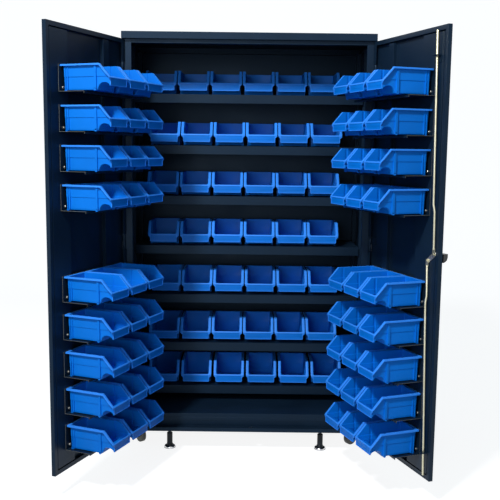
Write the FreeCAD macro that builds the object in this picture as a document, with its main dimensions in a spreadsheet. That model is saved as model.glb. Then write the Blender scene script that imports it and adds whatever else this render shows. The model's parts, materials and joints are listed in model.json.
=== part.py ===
import FreeCAD, Part
import math
import os
import re
import Sketcher

# Parts bin cabinet: a folded-steel cabinet on levelling feet and casters, with two hinged doors that carry
# trays of hopper bins, seven shelves of hopper bins, and a turn handle that drives two locking rods.
# Frame: origin on the floor below the middle of the front opening, +X right, +Y into the cabinet, +Z up.
# Each door is drawn in its own frame: origin on its hinge axis at floor level, +Y towards the inside.

SIZES = {
    # cabinet body, folded sheet
    "cabinet_width": 1219,
    "cabinet_depth": 590,
    "body_height": 1981,
    "ground_gap": 110,
    "body_sheet": 1.5,
    "stile_width": 44.5,
    "stile_return": 20,
    "rear_flange": 25,
    "cap_height": 33,
    "cap_overhang": 21,
    "cap_return": 16,
    "header_height": 18,
    "sill_height": 20,
    "rail_depth": 40,
    "rail_lip": 10,
    # floor panel and the rails under it
    "floor_rise": 81,
    "floor_setback": 45,
    "floor_hem_drop": 21,
    "floor_hem_step": 1.5,
    "base_rail_width": 40,
    "base_rail_height": 44,
    "base_rail_wall": 2,
    "cross_rail_width": 60,
    # shelves and what holds them
    "shelf_pitch": 261,
    "top_shelf_rise": 1707,
    "low_shelf_rise": 165,
    "shelf_setback": 250,
    "shelf_rear_gap": 6,
    "shelf_sheet": 1.5,
    "shelf_front_height": 44,
    "shelf_end_height": 25,
    "shelf_hem": 14,
    "shelf_end_gap": 2,
    "upright_width": 28,
    "upright_depth": 20,
    "upright_sheet": 2,
    "upright_inset": 14,
    "slot_pitch": 130.5,
    "slot_width": 8,
    "slot_height": 16,
    "clip_height": 12,
    "clip_reach": 14,
    # doors
    "door_thickness": 19,
    "door_sheet": 1.2,
    "door_gap": 3,
    "door_clearance": 1,
    "door_flange": 20,
    "door_end_past_axis": 3,
    "left_door_open": 112,
    "right_door_open": 110.3,
    "stiffener_sheet": 1.2,
    "hinge_stiffener_start": 134,
    "hinge_stiffener_width": 44,
    "left_channel_start": 456,
    "right_channel_start": 422,
    "channel_end": 580,
    "stiffener_foot": 14,
    "stiffener_end_gap": 6,
    # hinges
    "hinge_inset": 3.5,
    "hinge_barrel_radius": 7,
    "hinge_pin_radius": 3,
    "hinge_fit": 0.05,
    "hinge_knuckle_height": 32,
    "hinge_knuckle_gap": 0.5,
    "hinge_pin_short": 2,
    "hinge_web": 6,
    "hinge_leaf_length": 40,
    "hinge_leaf_sheet": 3,
    "hinge_notch_gap": 3,
    "hinge_end_rise": 140,
    # door trays and their bolts
    "tray_sheet": 1.5,
    "tray_start": 46,
    "tray_end": 524,
    "tray_depth": 124,
    "tray_lip": 10,
    "tray_plate_rise": 112,
    "door_row_pitch": 167,
    "door_low_row_rise": 98,
    "door_upper_rows_rise": 1163,
    "bolt_radius": 6.5,
    "bolt_head": 5,
    "bolt_rise": 16,
    "bolt_from_end": 28,
    # door bins
    "door_bin_length": 240,
    "door_bin_width": 151,
    "door_bin_height": 110,
    "door_bin_lip_top": 54,
    "door_bin_lip_bottom": 20,
    "door_bin_pitch": 157,
    "door_bin_start": 52,
    # shelf bins
    "shelf_bin_length": 240,
    "shelf_bin_width": 163,
    "shelf_bin_height": 122,
    "shelf_bin_lip_top": 56,
    "shelf_bin_lip_bottom": 19,
    "shelf_bin_setback": 255,
    "shelf_bin_pitch": 168,
    "low_shelf_bin_pitch": 175,
    # walls and rims of both kinds of bin
    "rim_share": 0.79,
    "bottom_share": 0.76,
    "ramp_share": 0.86,
    "bin_arch": 14,
    "bin_lip_thickness": 3,
    "bin_ear_drop": 16,
    "bin_wall": 2.5,
    "bin_rim": 11.5,
    "bin_rim_thickness": 8,
    "bin_rear_rim": 12,
    "bin_rear_draft": 2,
    "seat_gap": 0.3,
    # lock, handle and rods
    "lock_height": 1094,
    "lock_from_hinge": 551.5,
    "sleeve_radius": 11,
    "sleeve_fit": 0.3,
    "escutcheon_thickness": 3,
    "spindle_radius": 6,
    "cam_radius": 29,
    "cam_angle": 36.5,
    "cam_thickness": 3,
    "cam_width": 20,
    "cam_off_channel": 1,
    "eye_clearance": 0.4,
    "pin_radius": 4,
    "pin_head": 2.4,
    "rod_radius": 5,
    "rod_offset": 22,
    "rod_joggle_run": 30,
    "upper_rod_joggle_at": 180,
    "lower_rod_joggle_at": 150,
    "rod_top_gap": 4,
    "rod_bottom_gap": 5,
    "upper_rod_lean": 1.87,
    "lower_rod_lean": 2.82,
    "rod_eye_thickness": 4,
    "rod_eye_radius": 8,
    "rod_eye_length": 24,
    "keeper_clearance": 4,
    "guide_width": 30,
    "guide_sheet": 3,
    "guide_from_end": 100,
    "guide_fit": 0.1,
    "handle_base_radius": 24,
    "handle_base_depth": 6,
    "handle_clearance": 0.3,
    "handle_length": 92,
    "handle_height": 38,
    "handle_depth": 21,
    "handle_nose_rise": 4,
    "handle_chin_depth": 17,
    "handle_chin_drop": 9,
    "handle_heel_depth": 8,
    "handle_heel_drop": 16,
    # levelling feet
    "foot_spacing": 780,
    "foot_pad_radius": 31.5,
    "foot_rim": 5,
    "foot_socket_radius": 20,
    "foot_socket_height": 16,
    "foot_neck_radius": 14.5,
    "foot_stem_radius": 8,
    "foot_column_height": 80,
    "foot_nut_radius": 15,
    "foot_nut_height": 12,
    "foot_fit": 0.1,
    # casters
    "caster_spacing": 1070,
    "caster_ground_clearance": 3,
    "caster_plate": 60,
    "caster_plate_thickness": 3,
    "raceway_radius": 22,
    "raceway_height": 8,
    "raceway_gap": 0.4,
    "fork_sheet": 3,
    "fork_trail": 26,
    "fork_leg_width": 26,
    "fork_leg_round": 12,
    "wheel_radius": 38,
    "wheel_width": 24,
    "wheel_gap": 2,
    "axle_radius": 5,
    "axle_fit": 0.1,
    "left_fork_turn": 38,
    "right_fork_turn": -52,
    # one overrun for every cut
    "overrun": 5,
}

# Worked-out dimensions, each a formula of the sizes above.
PLACES = {
    "half_width": "cabinet_width / 2",
    "body_top": "ground_gap + body_height",
    "cap_bottom": "body_top - cap_height",
    "wall_height": "body_height - cap_height",
    "opening_top": "cap_bottom - header_height",
    "opening_half": "half_width - stile_width",
    "sill_top": "ground_gap + sill_height",
    "floor_top": "ground_gap + floor_rise",
    "inside_half": "half_width - body_sheet",
    "back_front_face": "cabinet_depth - 2 * body_sheet",
    "rail_top": "ground_gap + base_rail_height",
    "shelf_half": "inside_half - upright_depth - shelf_end_gap",
    "shelf_back": "back_front_face - shelf_rear_gap",
    "door_bottom": "ground_gap + door_gap",
    "door_top": "cap_bottom - door_gap",
    "door_height": "door_top - door_bottom",
    "door_half": "door_thickness / 2",
    "hinge_x": "half_width - hinge_inset",
    "hinge_y": "-(door_clearance + door_half)",
    "door_reach": "hinge_x - door_gap",
    "skin_inner": "door_sheet - door_half",
    "tray_front": "door_half + tray_sheet",
    "door_bin_back": "tray_front + seat_gap",
    "low_row": "ground_gap + door_low_row_rise",
    "first_upper_row": "ground_gap + door_upper_rows_rise",
    "hinge_low": "door_bottom + hinge_end_rise",
    "hinge_high": "door_top - hinge_end_rise",
    "hinge_middle": "(hinge_low + hinge_high) / 2",
    "hinge_half": "hinge_knuckle_height + hinge_knuckle_gap / 2",
    "pin_bore": "hinge_pin_radius + hinge_fit",
    "cam_face": "door_half + cam_off_channel + cam_thickness",
    "eye_face": "cam_face + eye_clearance",
    "rod_joggle": "rod_offset - eye_face - rod_eye_thickness / 2",
    "handle_seat": "door_half + escutcheon_thickness + handle_clearance",
    "handle_face": "handle_seat + handle_base_depth",
    "upper_pin_height": "lock_height + cam_radius * sin(cam_angle)",
    "lower_pin_height": "lock_height - cam_radius * sin(cam_angle)",
    "upper_pin_reach": "lock_from_hinge + cam_radius * cos(cam_angle)",
    "lower_pin_reach": "lock_from_hinge - cam_radius * cos(cam_angle)",
    "upper_rod_end": "opening_top - rod_top_gap",
    "lower_rod_end": "sill_top + rod_bottom_gap",
    "upper_rod_length": "(upper_rod_end - upper_pin_height) / cos(upper_rod_lean)",
    "lower_rod_length": "(lower_pin_height - lower_rod_end) / cos(lower_rod_lean)",
    "upper_keeper_reach": "upper_pin_reach - (opening_top - upper_pin_height) * tan(upper_rod_lean)",
    "lower_keeper_reach": "lower_pin_reach + (lower_pin_height - sill_top) * tan(lower_rod_lean)",
    "axle_height": "caster_ground_clearance + wheel_radius",
    "plate_bottom": "ground_gap - caster_plate_thickness",
    "raceway_bottom": "plate_bottom - raceway_height",
    "fork_top": "raceway_bottom - raceway_gap",
    "foot_stem_end": "ground_gap + base_rail_height / 2",
    "front_foot_y": "floor_setback + base_rail_width / 2",
    "rear_rail_y": "back_front_face - base_rail_width",
    "rear_foot_y": "rear_rail_y + base_rail_width / 2",
    "front_caster_y": "floor_setback + base_rail_width + caster_plate / 2",
    "rear_caster_y": "rear_rail_y - caster_plate / 2",
    "fork_inner_half": "wheel_width / 2 + wheel_gap",
    "fork_outer_half": "fork_inner_half + fork_sheet",
}

# How far each row of shelf bins stands from the middle, top row first, as the rows were loaded.
ROW_OFFSETS = {
    "row_1_offset": -34,
    "row_2_offset": -16,
    "row_3_offset": -24,
    "row_4_offset": -22,
    "row_5_offset": -13,
    "row_6_offset": -20,
    "row_7_offset": -5,
}
SIZES.update(ROW_OFFSETS)

SHELF_COUNT = len(ROW_OFFSETS)
BINS_PER_SHELF = 6
BINS_PER_TRAY = 3
LOWER_ROWS = 5
UPPER_ROWS = 4
SLOT_BAYS = 5
HEX_SIDES = 6

doc = FreeCAD.newDocument("parts_bin_cabinet")


def fill_sheet(name, cells, lead):
    """A sheet with one named cell a line: the name in column A, the value in column B."""
    sheet = doc.addObject("Spreadsheet::Sheet", name)
    for line, (alias, value) in enumerate(cells.items(), start=1):
        sheet.set(f"A{line}", alias)
        sheet.set(f"B{line}", lead + formula(str(value)))
        sheet.setAlias(f"B{line}", alias)
    return sheet


def formula(text):
    """A formula of named sizes with each name told which sheet holds it."""
    def owner(found):
        name = found[0]
        if name in SIZES:
            return "Sizes." + name
        if name in PLACES:
            return "Places." + name
        return name
    return re.sub(r"[a-z][a-z0-9_]*", owner, text)


sizes = fill_sheet("Sizes", SIZES, "")
places = fill_sheet("Places", PLACES, "=")
doc.recompute()


def at(name):
    """The number that a named size or place holds now."""
    return float(sizes.get(name) if name in SIZES else places.get(name))


def vector(x, y, z):
    return FreeCAD.Vector(x, y, z)


def turned(x, y, z, degrees=0.0, axis=(0, 0, 1)):
    """A place and a turn about one axis."""
    return FreeCAD.Placement(vector(x, y, z), FreeCAD.Rotation(vector(*axis), degrees))


WHERE_IT_IS = turned(0, 0, 0)
nodes = []


def keep(item, label, where=WHERE_IT_IS):
    """Names one sub-part and sets where it stands."""
    item.Label = label
    item.Placement = where
    nodes.append(item)
    return item


# Sketches and features


def new_body(name):
    return doc.addObject("PartDesign::Body", name)


def sketch_on(body, role, offset="0"):
    """A sketch on one of the body's own origin planes, moved along its normal by a formula."""
    sketch = body.newObject("Sketcher::SketchObject", "Sketch")
    plane = next(f for f in body.Origin.OriginFeatures if f.Role == role)
    sketch.AttachmentSupport = [(plane, "")]
    sketch.MapMode = "FlatFace"
    if offset != "0":
        sketch.setExpression(".AttachmentOffset.Base.z", formula(offset))
    return sketch


def pin_down(sketch, item, point, x, y):
    """Ties one point of a sketch to the origin by two formulas."""
    for kind, text, axis in (("DistanceX", x, -2), ("DistanceY", y, -1)):
        if text == "0":
            sketch.addConstraint(Sketcher.Constraint("PointOnObject", item, point, axis))
        else:
            number = sketch.addConstraint(Sketcher.Constraint(kind, -1, 1, item, point, 1.0))
            sketch.setExpression(f"Constraints[{number}]", formula(text))


def outline(sketch, points):
    """A closed outline of straight lines through points given as formulas."""
    first, count = sketch.GeometryCount, len(points)
    turns = [2 * math.pi * i / count for i in range(count)]
    unit = [vector(math.cos(turn), math.sin(turn), 0) for turn in turns]
    for i in range(count):
        sketch.addGeometry(Part.LineSegment(unit[i], unit[(i + 1) % count]))
    for i in range(count):
        sketch.addConstraint(Sketcher.Constraint("Coincident", first + i, 2, first + (i + 1) % count, 1))
    for i, (x, y) in enumerate(points):
        pin_down(sketch, first + i, 1, x, y)


def rectangle(sketch, x0, x1, y0, y1):
    outline(sketch, [(x0, y0), (x1, y0), (x1, y1), (x0, y1)])


def circle(sketch, x, y, radius):
    """A circle given by formulas for its middle and radius."""
    item = sketch.addGeometry(Part.Circle(vector(0, 0, 0), vector(0, 0, 1), 1))
    pin_down(sketch, item, 3, x, y)
    number = sketch.addConstraint(Sketcher.Constraint("Radius", item, 1.0))
    sketch.setExpression(f"Constraints[{number}]", formula(radius))


def pad(body, sketch, length, midplane=False, reverse=False):
    feature = body.newObject("PartDesign::Pad", "Pad")
    feature.Profile = sketch
    feature.setExpression("Length", formula(length))
    feature.Midplane = midplane
    feature.Reversed = reverse
    return feature


def pocket(body, sketch, length, midplane=False, reverse=False):
    feature = body.newObject("PartDesign::Pocket", "Pocket")
    feature.Profile = sketch
    feature.setExpression("Length", formula(length))
    feature.Midplane = midplane
    feature.Reversed = reverse
    return feature


def revolve(body, sketch, axis="V_Axis"):
    """A full turn about one axis of the sketch."""
    feature = body.newObject("PartDesign::Revolution", "Revolution")
    feature.Profile = sketch
    feature.ReferenceAxis = (sketch, [axis])
    feature.Angle = 360
    return feature


def pattern(body, feature, role, length, count):
    """Evenly spaced copies of one feature along an origin axis."""
    copies = body.newObject("PartDesign::LinearPattern", "Pattern")
    copies.Originals = [feature]
    axis = next(f for f in body.Origin.OriginFeatures if f.Role == role)
    copies.Direction = (axis, [""])
    copies.setExpression("Length", formula(length))
    copies.Occurrences = count
    body.Tip = copies
    return copies


def block(name, x0, x1, y0, y1, z0, z1):
    """A box between six formulas."""
    box = doc.addObject("Part::Box", name)
    box.setExpression("Length", formula(f"({x1}) - ({x0})"))
    box.setExpression("Width", formula(f"({y1}) - ({y0})"))
    box.setExpression("Height", formula(f"({z1}) - ({z0})"))
    box.setExpression(".Placement.Base.x", formula(x0))
    box.setExpression(".Placement.Base.y", formula(y0))
    box.setExpression(".Placement.Base.z", formula(z0))
    return box


def joined(name, shapes):
    fuse = doc.addObject("Part::MultiFuse", name)
    fuse.Shapes = shapes
    fuse.Refine = True
    return fuse


def cut(name, base, tools):
    """A base less its tools, one after the other."""
    tool = tools[0] if len(tools) == 1 else joined(name + "_tools", tools)
    result = doc.addObject("Part::Cut", name)
    result.Base = base
    result.Tool = tool
    return result


def group_of(label, placed, where=WHERE_IT_IS):
    """One sub-part made of separate solids: pairs of a master and where its copy stands."""
    doc.recompute()
    solids = []
    for master, stand in placed:
        solid = master.Shape.copy()
        solid.Placement = stand.multiply(master.Shape.Placement)
        solids.append(solid)
    group = doc.addObject("Part::Feature", label)
    group.Shape = Part.makeCompound(solids) if len(solids) > 1 else solids[0]
    return keep(group, label, where)


def copies_of(master, stands, label, where=WHERE_IT_IS):
    """One sub-part made of separate copies of a master solid, each where its placement puts it."""
    return group_of(label, [(master, stand) for stand in stands], where)


# Cabinet body


def side_panel(label, sign):
    """Side wall folded round at the front into a stile and at the back into a flange."""
    def x(text):
        return f"{sign}(half_width - ({text}))"

    body = new_body(label)
    sketch = sketch_on(body, "XY_Plane", "ground_gap")
    outline(sketch, [
        (x("0"), "0"),
        (x("stile_width"), "0"),
        (x("stile_width"), "stile_return"),
        (x("stile_width - body_sheet"), "stile_return"),
        (x("stile_width - body_sheet"), "body_sheet"),
        (x("body_sheet"), "body_sheet"),
        (x("body_sheet"), "cabinet_depth - body_sheet"),
        (x("rear_flange"), "cabinet_depth - body_sheet"),
        (x("rear_flange"), "cabinet_depth"),
        (x("0"), "cabinet_depth"),
    ])
    pad(body, sketch, "wall_height")
    return keep(body, label)


side_panel("left_side_panel", "-")
side_panel("right_side_panel", "")

back_panel = block("BackPanel", "-inside_half", "inside_half", "back_front_face",
                   "cabinet_depth - body_sheet", "ground_gap", "cap_bottom")
keep(back_panel, "back_panel", back_panel.Placement)


def top_cover():
    """Shallow pan turned over, its skirt folded in to a narrow return that rests on the walls."""
    outer = block("CapOuter", "-half_width", "half_width", "-cap_overhang", "cabinet_depth",
                  "cap_bottom", "body_top")
    hollow = block("CapHollow", "body_sheet - half_width", "half_width - body_sheet",
                   "body_sheet - cap_overhang", "cabinet_depth - body_sheet",
                   "cap_bottom + body_sheet", "body_top - body_sheet")
    mouth = block("CapMouth", "cap_return - half_width", "half_width - cap_return",
                  "cap_return - cap_overhang + stile_return", "cabinet_depth - cap_return",
                  "cap_bottom - overrun", "cap_bottom + overrun")
    keep(cut("CapPan", outer, [hollow, mouth]), "top_cover")


top_cover()


def keeper_rail(label, rod, bottom, top, flange_low, flange_high, lip_end):
    """Folded rail across the opening, with the hole that takes the end of a locking rod."""
    body = new_body(label)
    sketch = sketch_on(body, "YZ_Plane")
    face_end, flange_face, flange_back = bottom, flange_high, flange_low
    if flange_low == bottom:
        face_end, flange_face, flange_back = top, flange_low, flange_high
    outline(sketch, [
        ("0", face_end),
        ("0", flange_face),
        ("rail_depth", flange_face),
        ("rail_depth", lip_end),
        ("rail_depth - body_sheet", lip_end),
        ("rail_depth - body_sheet", flange_back),
        ("body_sheet", flange_back),
        ("body_sheet", face_end),
    ])
    pad(body, sketch, "2 * opening_half", midplane=True)
    hole = sketch_on(body, "XY_Plane", f"{flange_low} - overrun")
    circle(hole, f"hinge_x - {rod}_keeper_reach", "hinge_y + rod_offset", "rod_radius + keeper_clearance")
    pocket(body, hole, "2 * overrun", reverse=True)
    return keep(body, label)


keeper_rail("header_rail", "upper", "opening_top", "cap_bottom",
            "opening_top", "opening_top + body_sheet", "opening_top + rail_lip")
keeper_rail("sill_rail", "lower", "ground_gap", "sill_top",
            "sill_top - body_sheet", "sill_top", "sill_top - rail_lip")


def floor_panel():
    """Bottom of the lowest bay: a pan turned over, its front edge folded down and hemmed."""
    body = new_body("Floor")
    sketch = sketch_on(body, "YZ_Plane")
    outline(sketch, [
        ("floor_setback", "floor_top"),
        ("floor_setback", "floor_top - floor_hem_drop"),
        ("floor_setback - floor_hem_step", "floor_top - floor_hem_drop"),
        ("floor_setback - floor_hem_step", "rail_top"),
        ("floor_setback + body_sheet", "rail_top"),
        ("floor_setback + body_sheet", "floor_top - body_sheet"),
        ("back_front_face - body_sheet", "floor_top - body_sheet"),
        ("back_front_face - body_sheet", "rail_top"),
        ("back_front_face", "rail_top"),
        ("back_front_face", "floor_top"),
    ])
    pad(body, sketch, "2 * inside_half", midplane=True)
    return keep(body, "floor_panel")


floor_panel()


def base_rails():
    """Rectangular tubes under the floor: two across the cabinet and two between them over the casters."""
    def tube(name, x0, x1, y0, y1, open_x, open_y):
        """A tube between six formulas, its bore set in by the wall or run out past its open ends."""
        outer = block(name, x0, x1, y0, y1, "ground_gap", "rail_top")
        bore = block(name + "Bore", f"{x0} - {open_x}", f"{x1} + {open_x}", f"{y0} - {open_y}",
                     f"{y1} + {open_y}", "ground_gap + base_rail_wall", "rail_top - base_rail_wall")
        return cut(name + "Tube", outer, [bore])

    def stem_hole(name, x, y):
        hole = doc.addObject("Part::Cylinder", name)
        hole.setExpression("Radius", formula("foot_stem_radius + foot_fit"))
        hole.setExpression("Height", formula("base_rail_wall + 2 * overrun"))
        hole.setExpression(".Placement.Base.x", formula(x))
        hole.setExpression(".Placement.Base.y", formula(y))
        hole.setExpression(".Placement.Base.z", formula("ground_gap - overrun"))
        return hole

    rails = []
    ends = (("Front", "floor_setback", "front_foot_y"), ("Rear", "rear_rail_y", "rear_foot_y"))
    for end, y0, foot_y in ends:
        rail = tube(end + "Rail", "-inside_half", "inside_half", y0, y0 + " + base_rail_width",
                    "overrun", "(-base_rail_wall)")
        holes = [stem_hole(end + side + "Hole", sign + "foot_spacing / 2", foot_y)
                 for side, sign in (("Left", "-"), ("Right", ""))]
        rails.append(cut(end + "Drilled", rail, holes))
    cross = []
    for side, sign in (("Left", "-"), ("Right", "")):
        middle = f"({sign}caster_spacing / 2)"
        cross.append(tube(side + "Cross", f"{middle} - cross_rail_width / 2",
                          f"{middle} + cross_rail_width / 2", "floor_setback + base_rail_width",
                          "rear_rail_y", "(-base_rail_wall)", "overrun"))
    for label, links in (("base_long_rails", rails), ("base_cross_rails", cross)):
        group = doc.addObject("Part::Compound", label)
        group.Links = links
        keep(group, label)


base_rails()


# Shelves, uprights and clips


def shelf_top(number):
    """Formula for the top of a shelf, counted from the top; the lowest one stands at a height of its own."""
    if number == SHELF_COUNT:
        return "(ground_gap + low_shelf_rise)"
    return f"(ground_gap + top_shelf_rise - {number - 1} * shelf_pitch)"


def shelf_height(number):
    """The number that the formula for a shelf's top comes to."""
    if number == SHELF_COUNT:
        return at("ground_gap") + at("low_shelf_rise")
    return at("ground_gap") + at("top_shelf_rise") - (number - 1) * at("shelf_pitch")


def shelf(number):
    """Shelf folded down on all four sides, its front edge hemmed back underneath."""
    label = f"shelf_{number}"
    top = shelf_top(number)
    body = new_body(label)
    profile = sketch_on(body, "YZ_Plane")
    outline(profile, [
        ("shelf_setback", top),
        ("shelf_setback", f"{top} - shelf_front_height"),
        ("shelf_setback + shelf_hem", f"{top} - shelf_front_height"),
        ("shelf_setback + shelf_hem", f"{top} - shelf_front_height + shelf_sheet"),
        ("shelf_setback + shelf_sheet", f"{top} - shelf_front_height + shelf_sheet"),
        ("shelf_setback + shelf_sheet", f"{top} - shelf_sheet"),
        ("shelf_back - shelf_sheet", f"{top} - shelf_sheet"),
        ("shelf_back - shelf_sheet", f"{top} - shelf_end_height"),
        ("shelf_back", f"{top} - shelf_end_height"),
        ("shelf_back", top),
    ])
    pad(body, profile, "2 * shelf_half", midplane=True)
    ends = sketch_on(body, "XY_Plane", top)
    rectangle(ends, "-shelf_half", "shelf_sheet - shelf_half", "shelf_setback", "shelf_back")
    rectangle(ends, "shelf_half - shelf_sheet", "shelf_half", "shelf_setback", "shelf_back")
    pad(body, ends, "shelf_end_height", reverse=True)
    return keep(body, label)


for shelf_number in range(1, SHELF_COUNT + 1):
    shelf(shelf_number)


def upright():
    """Slotted channel that stands against a side wall, drawn at the left front and slotted up its face."""
    body = new_body("Upright")
    sketch = sketch_on(body, "XY_Plane", "floor_top")
    outline(sketch, [
        ("0", "0"),
        ("upright_depth", "0"),
        ("upright_depth", "upright_width"),
        ("0", "upright_width"),
        ("0", "upright_width - upright_sheet"),
        ("upright_depth - upright_sheet", "upright_width - upright_sheet"),
        ("upright_depth - upright_sheet", "upright_sheet"),
        ("0", "upright_sheet"),
    ])
    pad(body, sketch, "cap_bottom - floor_top")
    doc.recompute()
    low_seat = f"{shelf_top(SHELF_COUNT)} - shelf_end_height - clip_height"
    seat = f"{shelf_top(SHELF_COUNT - 1)} - shelf_end_height - clip_height"
    left, right = "(upright_width - slot_width) / 2", "(upright_width + slot_width) / 2"
    low_slot = sketch_on(body, "YZ_Plane", "upright_depth - overrun")
    rectangle(low_slot, left, right, low_seat, f"{low_seat} + slot_height")
    pocket(body, low_slot, "2 * overrun", reverse=True)
    slot = sketch_on(body, "YZ_Plane", "upright_depth - overrun")
    rectangle(slot, left, right, seat, f"{seat} + slot_height")
    first = pocket(body, slot, "2 * overrun", reverse=True)
    slot_steps = round(SLOT_BAYS * at("shelf_pitch") / at("slot_pitch"))
    pattern(body, first, "Z_Axis", f"{SLOT_BAYS} * shelf_pitch", 1 + slot_steps)
    return body


def upright_y(end):
    """How far into the cabinet an upright's front edge stands."""
    if end == "front":
        return at("shelf_setback") + at("upright_inset")
    return at("shelf_back") - at("upright_inset") - at("upright_width")


upright_master = upright()
upright_stands = []
for end in ("front", "rear"):
    upright_stands.append(turned(-at("inside_half"), upright_y(end), 0))
    upright_stands.append(turned(at("inside_half"), upright_y(end) + at("upright_width"), 0, 180))
copies_of(upright_master, upright_stands, "shelf_uprights")


def clip():
    """Bent clip that carries a shelf's end flange and hooks into an upright's slot."""
    body = new_body("Clip")
    sketch = sketch_on(body, "XZ_Plane")
    outline(sketch, [
        ("-upright_sheet", "0"),
        ("-upright_sheet", "slot_height / 4"),
        ("0", "slot_height / 4"),
        ("0", "clip_height"),
        ("clip_reach", "clip_height"),
        ("clip_reach", "clip_height - upright_sheet"),
        ("upright_sheet", "clip_height - upright_sheet"),
        ("upright_sheet", "0"),
    ])
    pad(body, sketch, "slot_width", midplane=True)
    return body


clip_master = clip()
clip_stands = []
for shelf_number in range(1, SHELF_COUNT + 1):
    low = shelf_height(shelf_number) - at("shelf_end_height") - at("clip_height")
    for end in ("front", "rear"):
        middle = upright_y(end) + at("upright_width") / 2
        face = at("inside_half") - at("upright_depth")
        clip_stands.append(turned(-face, middle, low))
        clip_stands.append(turned(face, middle, low, 180))
copies_of(clip_master, clip_stands, "shelf_clips")


# Hopper bins


def hopper_bin(kind):
    """Moulded hopper bin, open at the top and low in front. Its rim runs level round the back and sides and
    then slopes to the grip lip, whose ears take its ends; the floor turns up in a ramp and runs out over a
    hollow for the fingers behind the lip. It stands on z = 0, its rim's back at y = 0, its mouth to +Y."""
    length, width, height, lip_top, lip_bottom = (
        f"{kind}_bin_{part}" for part in ("length", "width", "height", "lip_top", "lip_bottom"))
    body = new_body(kind.title() + "Bin")
    wall_half = f"({width} / 2 - bin_rim)"
    rim_front = f"({length} * rim_share)"
    ramp_foot = f"({length} * bottom_share)"
    ramp_head = f"({length} * ramp_share)"
    arch = f"({lip_bottom} + bin_arch)"
    back_foot = "(bin_rear_rim + bin_rear_draft)"
    lip_inside = f"({length} - bin_lip_thickness)"

    walls = sketch_on(body, "YZ_Plane")
    outline(walls, [
        (back_foot, "0"),
        (ramp_foot, "0"),
        (ramp_head, arch),
        (lip_inside, arch),
        (lip_inside, f"{lip_top} - bin_rim_thickness"),
        (rim_front, f"{height} - bin_rim_thickness"),
        ("bin_rear_rim", f"{height} - bin_rim_thickness"),
    ])
    pad(body, walls, f"2 * {wall_half}", midplane=True)
    rim = sketch_on(body, "YZ_Plane")
    outline(rim, [
        ("0", height),
        (rim_front, height),
        (length, lip_top),
        (length, f"{lip_top} - bin_rim_thickness"),
        (rim_front, f"{height} - bin_rim_thickness"),
        ("0", f"{height} - bin_rim_thickness"),
    ])
    pad(body, rim, width, midplane=True)
    lip = sketch_on(body, "XZ_Plane", f"-{length}")
    outline(lip, [
        (f"{width} / 2", f"{lip_top} - bin_rim_thickness"),
        (wall_half, f"{lip_top} - bin_ear_drop"),
        (wall_half, lip_bottom),
        (f"-{wall_half}", lip_bottom),
        (f"-{wall_half}", f"{lip_top} - bin_ear_drop"),
        (f"-{width} / 2", f"{lip_top} - bin_rim_thickness"),
    ])
    pad(body, lip, "bin_lip_thickness")
    hollow = sketch_on(body, "YZ_Plane")
    outline(hollow, [
        (f"{back_foot} + bin_wall", "bin_wall"),
        (f"{ramp_foot} - bin_wall / 2", "bin_wall"),
        (f"{ramp_head} - bin_wall / 2", f"{arch} + bin_wall"),
        (lip_inside, f"{arch} + bin_wall"),
        (lip_inside, f"{height} + overrun"),
        ("bin_rear_rim + bin_wall", f"{height} + overrun"),
    ])
    pocket(body, hollow, f"2 * ({wall_half} - bin_wall)", midplane=True)
    return body


shelf_bin = hopper_bin("shelf")
for shelf_number in range(1, SHELF_COUNT + 1):
    low_row = shelf_number == SHELF_COUNT
    pitch = at("low_shelf_bin_pitch") if low_row else at("shelf_bin_pitch")
    middle = at(f"row_{shelf_number}_offset") - pitch * (BINS_PER_SHELF - 1) / 2
    rear = at("shelf_bin_setback") + at("shelf_bin_length")
    seat = shelf_height(shelf_number) + at("seat_gap")
    spots = [turned(middle + pitch * i, rear, seat, 180) for i in range(BINS_PER_SHELF)]
    copies_of(shelf_bin, spots, f"shelf_{shelf_number}_bins")


# Doors. Each is drawn in its own frame, its free edge towards +X on the left door and -X on the right one.

DOORS = {
    "left": ("", turned(-at("hinge_x"), at("hinge_y"), 0, -at("left_door_open"))),
    "right": ("-", turned(at("hinge_x"), at("hinge_y"), 0, at("right_door_open"))),
}
HINGE_HEIGHTS = ("hinge_low", "hinge_middle", "hinge_high")
HINGE_STANDS = [turned(0, 0, at(height)) for height in HINGE_HEIGHTS]


def door(side):
    """Pan with its four edges folded in, notched round its hinges; the right one is bored for the lock."""
    sign, where = DOORS[side]
    label = side + "_door"
    body = new_body(label)
    near, far = f"{sign}(-door_end_past_axis)", f"{sign}(door_reach)"
    inner_near, inner_far = f"{sign}(door_sheet - door_end_past_axis)", f"{sign}(door_reach - door_sheet)"
    lip_near, lip_far = f"{sign}(door_flange - door_end_past_axis)", f"{sign}(door_reach - door_flange)"
    slab = sketch_on(body, "XZ_Plane", "door_half")
    rectangle(slab, near, far, "door_bottom", "door_top")
    pad(body, slab, "door_thickness", reverse=True)
    inside = sketch_on(body, "XZ_Plane", "-skin_inner")
    rectangle(inside, inner_near, inner_far, "door_bottom + door_sheet", "door_top - door_sheet")
    pocket(body, inside, "door_thickness - 2 * door_sheet")
    mouth = sketch_on(body, "XZ_Plane", "door_sheet - door_half")
    rectangle(mouth, lip_near, lip_far, "door_bottom + door_flange", "door_top - door_flange")
    pocket(body, mouth, "overrun")
    notches = sketch_on(body, "XZ_Plane", "door_half + overrun")
    for height in HINGE_HEIGHTS:
        rectangle(notches, f"{sign}(-door_end_past_axis - overrun)", lip_near,
                  f"{height} - hinge_half - hinge_notch_gap", f"{height} + hinge_half + hinge_notch_gap")
    pocket(body, notches, "door_thickness + 2 * overrun")
    if side == "right":
        bore = sketch_on(body, "XZ_Plane", "door_half + overrun")
        circle(bore, "-lock_from_hinge", "lock_height", "sleeve_radius + sleeve_fit")
        pocket(body, bore, "2 * overrun")
    return keep(body, label, where)


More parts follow.
